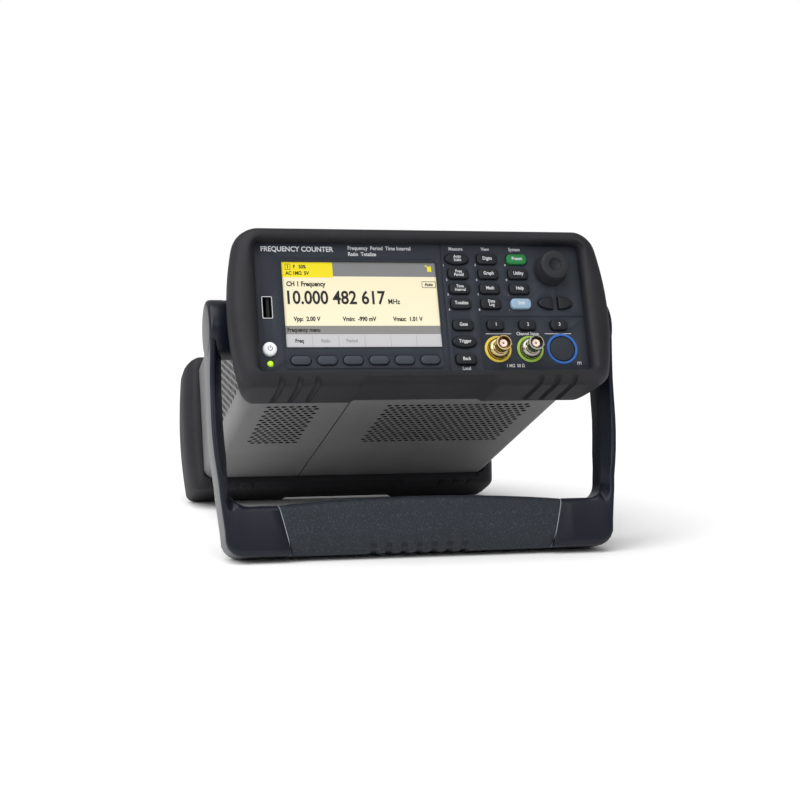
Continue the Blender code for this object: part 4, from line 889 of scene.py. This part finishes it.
def makeSocketShell(x):
    z = panelLayout["socketZ"]
    profile = [(4.05, -13.0), (4.6, -13.0), (4.8, -12.8), (4.85, -12.4), (4.85, -10.2), (4.55, -10.0), (4.55, -6.4),
               (4.85, -6.2), (4.85, -4.6), (5.4, -4.2), (6.2, -3.4), (6.6, -2.8), (6.7, -2.2), (6.7, -0.3),
               (6.1, -0.3), (6.1, 9.0), (2.75, 9.0), (2.75, -4.5), (4.05, -4.5)]
    body = turned(profile, (x, z), 56)
    lugs = [rod(1.0, (x + side * 4.2, -9.6, z), (x + side * 5.7, -9.6, z), 16) for side in (-1, 1)]
    return gather([body] + lugs)


def makeInsulator(x):
    profile = [(0, -6.0), (0.75, -6.0), (0.75, -11.4), (1.1, -11.6), (2.2, -11.6), (2.45, -11.3), (2.45, 10.0),
               (0, 10.0)]
    return turned(profile, (x, panelLayout["socketZ"]), 32)


socketFinishes = (("goldPlating", "yellowRing"), ("nickelPlating", "greenRing"))
socketRing = [(6.9, 0.28), (7.1, 0.1), (8.4, 0.1), (8.6, 0.28), (8.6, 0.45), (6.9, 0.45)]
for index, (plating, ringFinish) in enumerate(socketFinishes):
    x, number = panelLayout["socketX"][index], index + 1
    settle(f"bnc_shell_{number}", makeSocketShell(x), plating, smooth=28)
    settle(f"bnc_insulator_{number}", makeInsulator(x), "paleInsulator")
    ring = turned(socketRing, (x, panelLayout["socketZ"]), 56)
    settle(f"channel_{number}_ring", ring, ringFinish)
blankSpot = (panelLayout["socketX"][2], panelLayout["socketZ"])
blankProfile = [(0, 0.0), (7.0, 0.0), (7.6, 0.1), (8.0, 0.5), (8.0, 3.3), (9.2, 3.3), (9.2, 4.3), (0, 4.3)]
settle("channel_3_blank", turned(blankProfile, blankSpot, 56), "panelPlastic")
blankRing = [(8.4, 0.3), (8.6, -0.15), (9.8, -0.15), (10.1, 0.3), (10.1, 0.45), (8.4, 0.45)]
settle("channel_3_ring", turned(blankRing, blankSpot, 64), "blueRing")
print("panel pieces made")


handleLook = {
    "hubRadius": 18.7, "armRim": 3.2, "barFront": -10.0, "barRear": 15.0, "barTop": -110.5, "barBottom": -141.37,
    "barHalf": 124.2, "corner": 11.0, "innerX": 120.1, "gripX": 87.0, "gripSlant": 3.7, "gripDepth": 2.4,
    "swell": 4.0, "ribHalf": 35.0, "ribPitch": 10.0, "ribDepth": 1.5, "ribShift": 3.0,
}
armRadii, barRadii = (2.2, 3.2, 3.0, 2.0, 0.8), (4.5, 5.0, 4.0, 2.5, 1.5)
armRows = (  # height, outer X, inner X, front, rear, slope of the front edge
    (-2, 130.1, 121.9, -17.2, 17.2, 10.0), (-10, 130.1, 121.9, -16.4, 16.4, 10.0),
    (-18, 130.2, 121.9, -15.0, 15.0, 10.0), (-26, 130.4, 121.9, -13.4, 13.4, 10.0),
    (-34, 130.5, 121.9, -12.3, 12.3, 10.0), (-44, 130.5, 121.9, -12, 12, 10.0), (-58, 130.5, 121.9, -12, 12, 10.0),
    (-68, 130.2, 121.4, -12, 12.2, 10.0), (-80, 129.3, 120.6, -12, 12.6, 9.5), (-89, 128.2, 120.6, -12, 13.4, 9.0),
)


def armSection(outer, inner, front, rear, rim, slope, radii):
    outer, inner = Vector(outer), Vector(inner)
    length = (outer - inner).length
    direction = (outer - inner) / length
    corners = [(length, front), (length, rear), (0.0, rear), (0.0, front + slope), (length - rim, front)]
    ring = []
    for along, y, _ in fillet([(*corner, 0) for corner in corners], radii, 5):
        spot = inner + direction * along
        ring.append((spot[0], y, spot[1]))
    return ring


def onArc(centre, radius, angle):
    return (centre[0] + radius * math.cos(angle), centre[1] + radius * math.sin(angle))


def handleStations():  # the right half, from inside the hub to the middle of the bar
    look = handleLook
    rim, corner = look["armRim"], look["corner"]
    stations = [armSection((outer, z), (inner, z), front, rear, rim, slope, armRadii)
                for z, outer, inner, front, rear, slope in armRows]
    stations.append(armSection((127.2, -97), (120.2, -96.5), -11.4, 14.2, rim + 0.4, 8.0, armRadii))
    innerCentre = (look["innerX"] - corner, look["barTop"] + corner)
    outerCentre = (look["barHalf"] - corner, look["barBottom"] + corner)
    for step in range(9):  # round the corner from the arm to the bar
        share = step / 8
        inner = onArc(innerCentre, corner, math.radians(-90 * share))
        if share < 0.4:
            outer = (126.6 - 2.4 * share / 0.4, -105 - 22 * share / 0.4)
        else:
            outer = onArc(outerCentre, corner, math.radians(-90 * (share - 0.4) / 0.6))
        length = (Vector(outer) - Vector(inner)).length
        rim = 3.8 + (length - 2.2 - 3.8) * min(1.0, share * 1.6)
        slope = 8.0 * (1 - min(1.0, share * 1.6)) + 2.0
        radii = tuple(a + (b - a) * share for a, b in zip(armRadii, barRadii))
        stations.append(armSection(outer, inner, -11.2 + 1.2 * share, 14.4 + 0.6 * share, rim, slope, radii))
    edge, depth = look["gripX"] + 0.35, look["gripDepth"]
    bars = ((106.0, 0, 0), (98.0, 0, 0), (edge + 0.5, 0, 1), (edge, 0.35, 1), (edge, depth, 1), (40.0, depth, 0))
    return stations + [barSection(*bar) for bar in bars]


def barSection(x, margin, slanted):
    look = handleLook
    lean = look["gripSlant"] if slanted else 0.0
    outer = (x - lean, look["barBottom"] + margin)
    inner = (x + lean, look["barTop"] - margin)
    rim = (Vector(outer) - Vector(inner)).length - 2.2
    return armSection(outer, inner, look["barFront"] + margin, look["barRear"] - margin, rim, 2.0, barRadii)


def makeHandle():
    right = handleStations()
    left = [[(-x, y, z) for x, y, z in ring] for ring in reversed(right)]
    return skin(right + left)


def makeHubs():
    radius = handleLook["hubRadius"]
    profile = [(0, 130.53), (15.2, 130.53), (16.6, 130.35), (17.6, 129.9), (18.3, 129.2), (18.62, 128.2),
               (radius, 127.0), (radius, 120.6), (18.5, 120.2), (18.5, 107.4), (18.0, 107.1), (0, 107.1)]
    left, right = [turned(profile, steps=72, axis="X") for _ in range(2)]
    bmesh.ops.scale(left, vec=(-1, 1, 1), verts=left.verts)
    return gather([left, right])


settle("handle", makeHandle(), "handlePlastic", "handle", handleFrame, 40)
settle("handle_hubs", makeHubs(), "handlePlastic", "handle", handleFrame)


def gripRing(x, swell, margin=0.0, notch=0.0):
    look = handleLook
    front, rear = look["barFront"] + margin, look["barRear"] - margin
    low, high = look["barBottom"] + margin, look["barTop"] - margin + swell
    corners = [(front, low + 9.0 + notch, 0), (front + 5.0, low + notch, 0), (rear, low, 0), (rear, high, 0),
               (front, high, 0)]
    middle = (look["barTop"] + look["barBottom"]) / 2
    half = (look["barTop"] - look["barBottom"]) / 2
    share = x / look["gripX"]
    ring = []
    for y, z, _ in fillet(corners, (2.5, 2.0, 5.0, 5.0, 5.0), 5):
        ring.append((x + share * look["gripSlant"] * (z - middle) / half, y, z))
    return ring


def makeGrip():
    look = handleLook
    end = look["gripX"] - 0.3
    rings = [gripRing(-end, 0, look["gripDepth"] - 0.3), gripRing(-end, 0, 0.4)]
    stations = 190
    for step in range(stations + 1):
        x = -end + 0.4 + 2 * (end - 0.4) * step / stations
        swell = look["swell"] * (1 - (x / end) ** 2)
        notch = 0.0
        if abs(x + look["ribShift"]) < look["ribHalf"]:
            wave = 0.5 - 0.5 * math.cos(2 * math.pi * (x + look["ribShift"] + look["ribHalf"]) / look["ribPitch"])
            notch = look["ribDepth"] * min(1.0, max(0.0, (wave - 0.45) * 3.2))
        rings.append(gripRing(x, swell, 0.0, notch))
    rings += [gripRing(end, 0, 0.4), gripRing(end, 0, look["gripDepth"] - 0.3)]
    return skin(rings)


settle("handle_grip", makeGrip(), "gripRubber", "handle", handleFrame, 40)
# thin pale bands at the grip's ends are painted highlights where its edges catch light
highlightBeads = []
for end in (-1, 1):
    place = end * (handleLook["gripX"] + 0.02)
    highlightBeads.append(skin([gripRing(place - 0.2, 0, 0.2), gripRing(place + 0.2, 0, 0.2)]))
settle("grip_edge_highlights", gather(highlightBeads), "edgeHighlightGrey", "handle", handleFrame)
print("handle made")


rearCaptions = (("GATE", -18, -15.6), ("TRIG", 0, -15.6), ("REF OUT", 18, -15.6), ("REF IN", 36, -15.6),
                ("LAN", 6, 29.5), ("AC LINE", 74, 9.5), ("50-60 Hz", 74, -25.5))
rearWords = [letters(word, 3.4, (-x, z), -262.03, bold=0.02) for word, x, z in rearCaptions]
rearPrinting = gather(rearWords)
bmesh.ops.rotate(rearPrinting, verts=rearPrinting.verts, matrix=Matrix.Rotation(math.pi, 3, "Z"))
settle("rear_printing", rearPrinting, "whitePrint")


keptFinish = {  # finishes of the solids that stay
    "chassisSteel": ("chassis",), "matSilicone": ("keypad_mat",), "deepBlack": ("usb_port",),
    "blackPlastic": ("display_module", "fan_frame", "fan_rotor", "power_inlet"),
    "boardGreen": ("front_board", "main_board", "power_supply"), "rearSteel": ("rear_panel",),
    "zincSteel": ("rotary_encoder", "interface_jack", "rear_screw_left", "rear_screw_right"),
    "nickelPlating": ("rear_bnc_gate", "rear_bnc_trigger", "rear_bnc_reference_out", "rear_bnc_reference_in"),
}
for finish, names in keptFinish.items():
    for name in names:
        nodes[name].data.materials.clear()
        nodes[name].data.materials.append(finishes[finish])

studio = {
    "floor": (0.97, 0.97, 0.97), "sky": 0.38, "backdrop": 1.0, "sun": 2.5, "sunAngle": 70, "sunTurn": (12, -22, 0),
    "lens": 77.47, "sensor": 36.0, "eye": (-274.9, -966.7, -352.1), "look": (0.245, 0.9283, 0.2796),
    "up": (0.0109, -0.291, 0.9567),
}
lamps = {  # place, aim, size, power
    "keyLight": ((-1.6, -1.1, 1.0), (0, 0, 0.1), (1.2, 1.0), 16),
    "frontLight": ((0.3, -1.9, 1.2), (0, 0, 0.1), (1.0, 0.8), 5),
}


def makeFloor():
    bm = bmesh.new()
    bmesh.ops.create_grid(bm, x_segments=1, y_segments=1, size=40)
    mesh = meshFrom(bm, "studio_floor")
    finish = bpy.data.materials.new("studioFloor")
    finish.use_nodes = True
    shader = finish.node_tree.nodes["Principled BSDF"]
    shader.inputs["Base Color"].default_value = (*studio["floor"], 1)
    shader.inputs["Roughness"].default_value = 0.9
    shader.inputs["Specular IOR Level"].default_value = 0.1
    mesh.materials.append(finish)
    floor = bpy.data.objects.new("studio_floor", mesh)
    bpy.context.scene.collection.objects.link(floor)


def addLamp(name, place, aim, size, power):
    lamp = bpy.data.lights.new(name, "AREA")
    lamp.shape = "RECTANGLE"
    lamp.size, lamp.size_y = size
    lamp.energy = power
    holder = bpy.data.objects.new(name, lamp)
    holder.location = place
    holder.rotation_euler = (Vector(aim) - Vector(place)).to_track_quat("-Z", "Y").to_euler()
    bpy.context.scene.collection.objects.link(holder)


def makeCamera():
    lens = bpy.data.cameras.new("camera")
    lens.lens = studio["lens"]
    lens.sensor_width = studio["sensor"]
    holder = bpy.data.objects.new("camera", lens)
    look = (cabinetTurn.to_3x3() @ Vector(studio["look"])).normalized()
    up = (cabinetTurn.to_3x3() @ Vector(studio["up"])).normalized()
    right = look.cross(up).normalized()
    up = right.cross(look)
    turn = Matrix((right, up, -look)).transposed().to_4x4()
    holder.matrix_world = Matrix.Translation(cabinet @ Vector(studio["eye"])) @ turn
    bpy.context.scene.collection.objects.link(holder)
    bpy.context.scene.camera = holder


makeFloor()
world = bpy.data.worlds.new("studioWorld")
world.use_nodes = True
skyTree = world.node_tree
rays = addNode(skyTree, "ShaderNodeLightPath")
strength = addNode(skyTree, "ShaderNodeMix", {"A": studio["sky"], "B": studio["backdrop"]}, data_type="FLOAT")
skyTree.links.new(rays.outputs["Is Camera Ray"], strength.inputs["Factor"])
sky = skyTree.nodes["Background"]
sky.inputs["Color"].default_value = (1, 1, 1, 1)
skyTree.links.new(strength.outputs["Result"], sky.inputs["Strength"])
bpy.context.scene.world = world
sun = bpy.data.lights.new("overheadLight", "SUN")
sun.energy = studio["sun"]
sun.angle = math.radians(studio["sunAngle"])
overhead = bpy.data.objects.new("overheadLight", sun)
overhead.rotation_euler = [math.radians(turn) for turn in studio["sunTurn"]]
bpy.context.scene.collection.objects.link(overhead)
for name, settings in lamps.items():
    addLamp(name, *settings)
makeCamera()
bpy.context.scene.view_settings.view_transform = "Standard"
print("studio made")
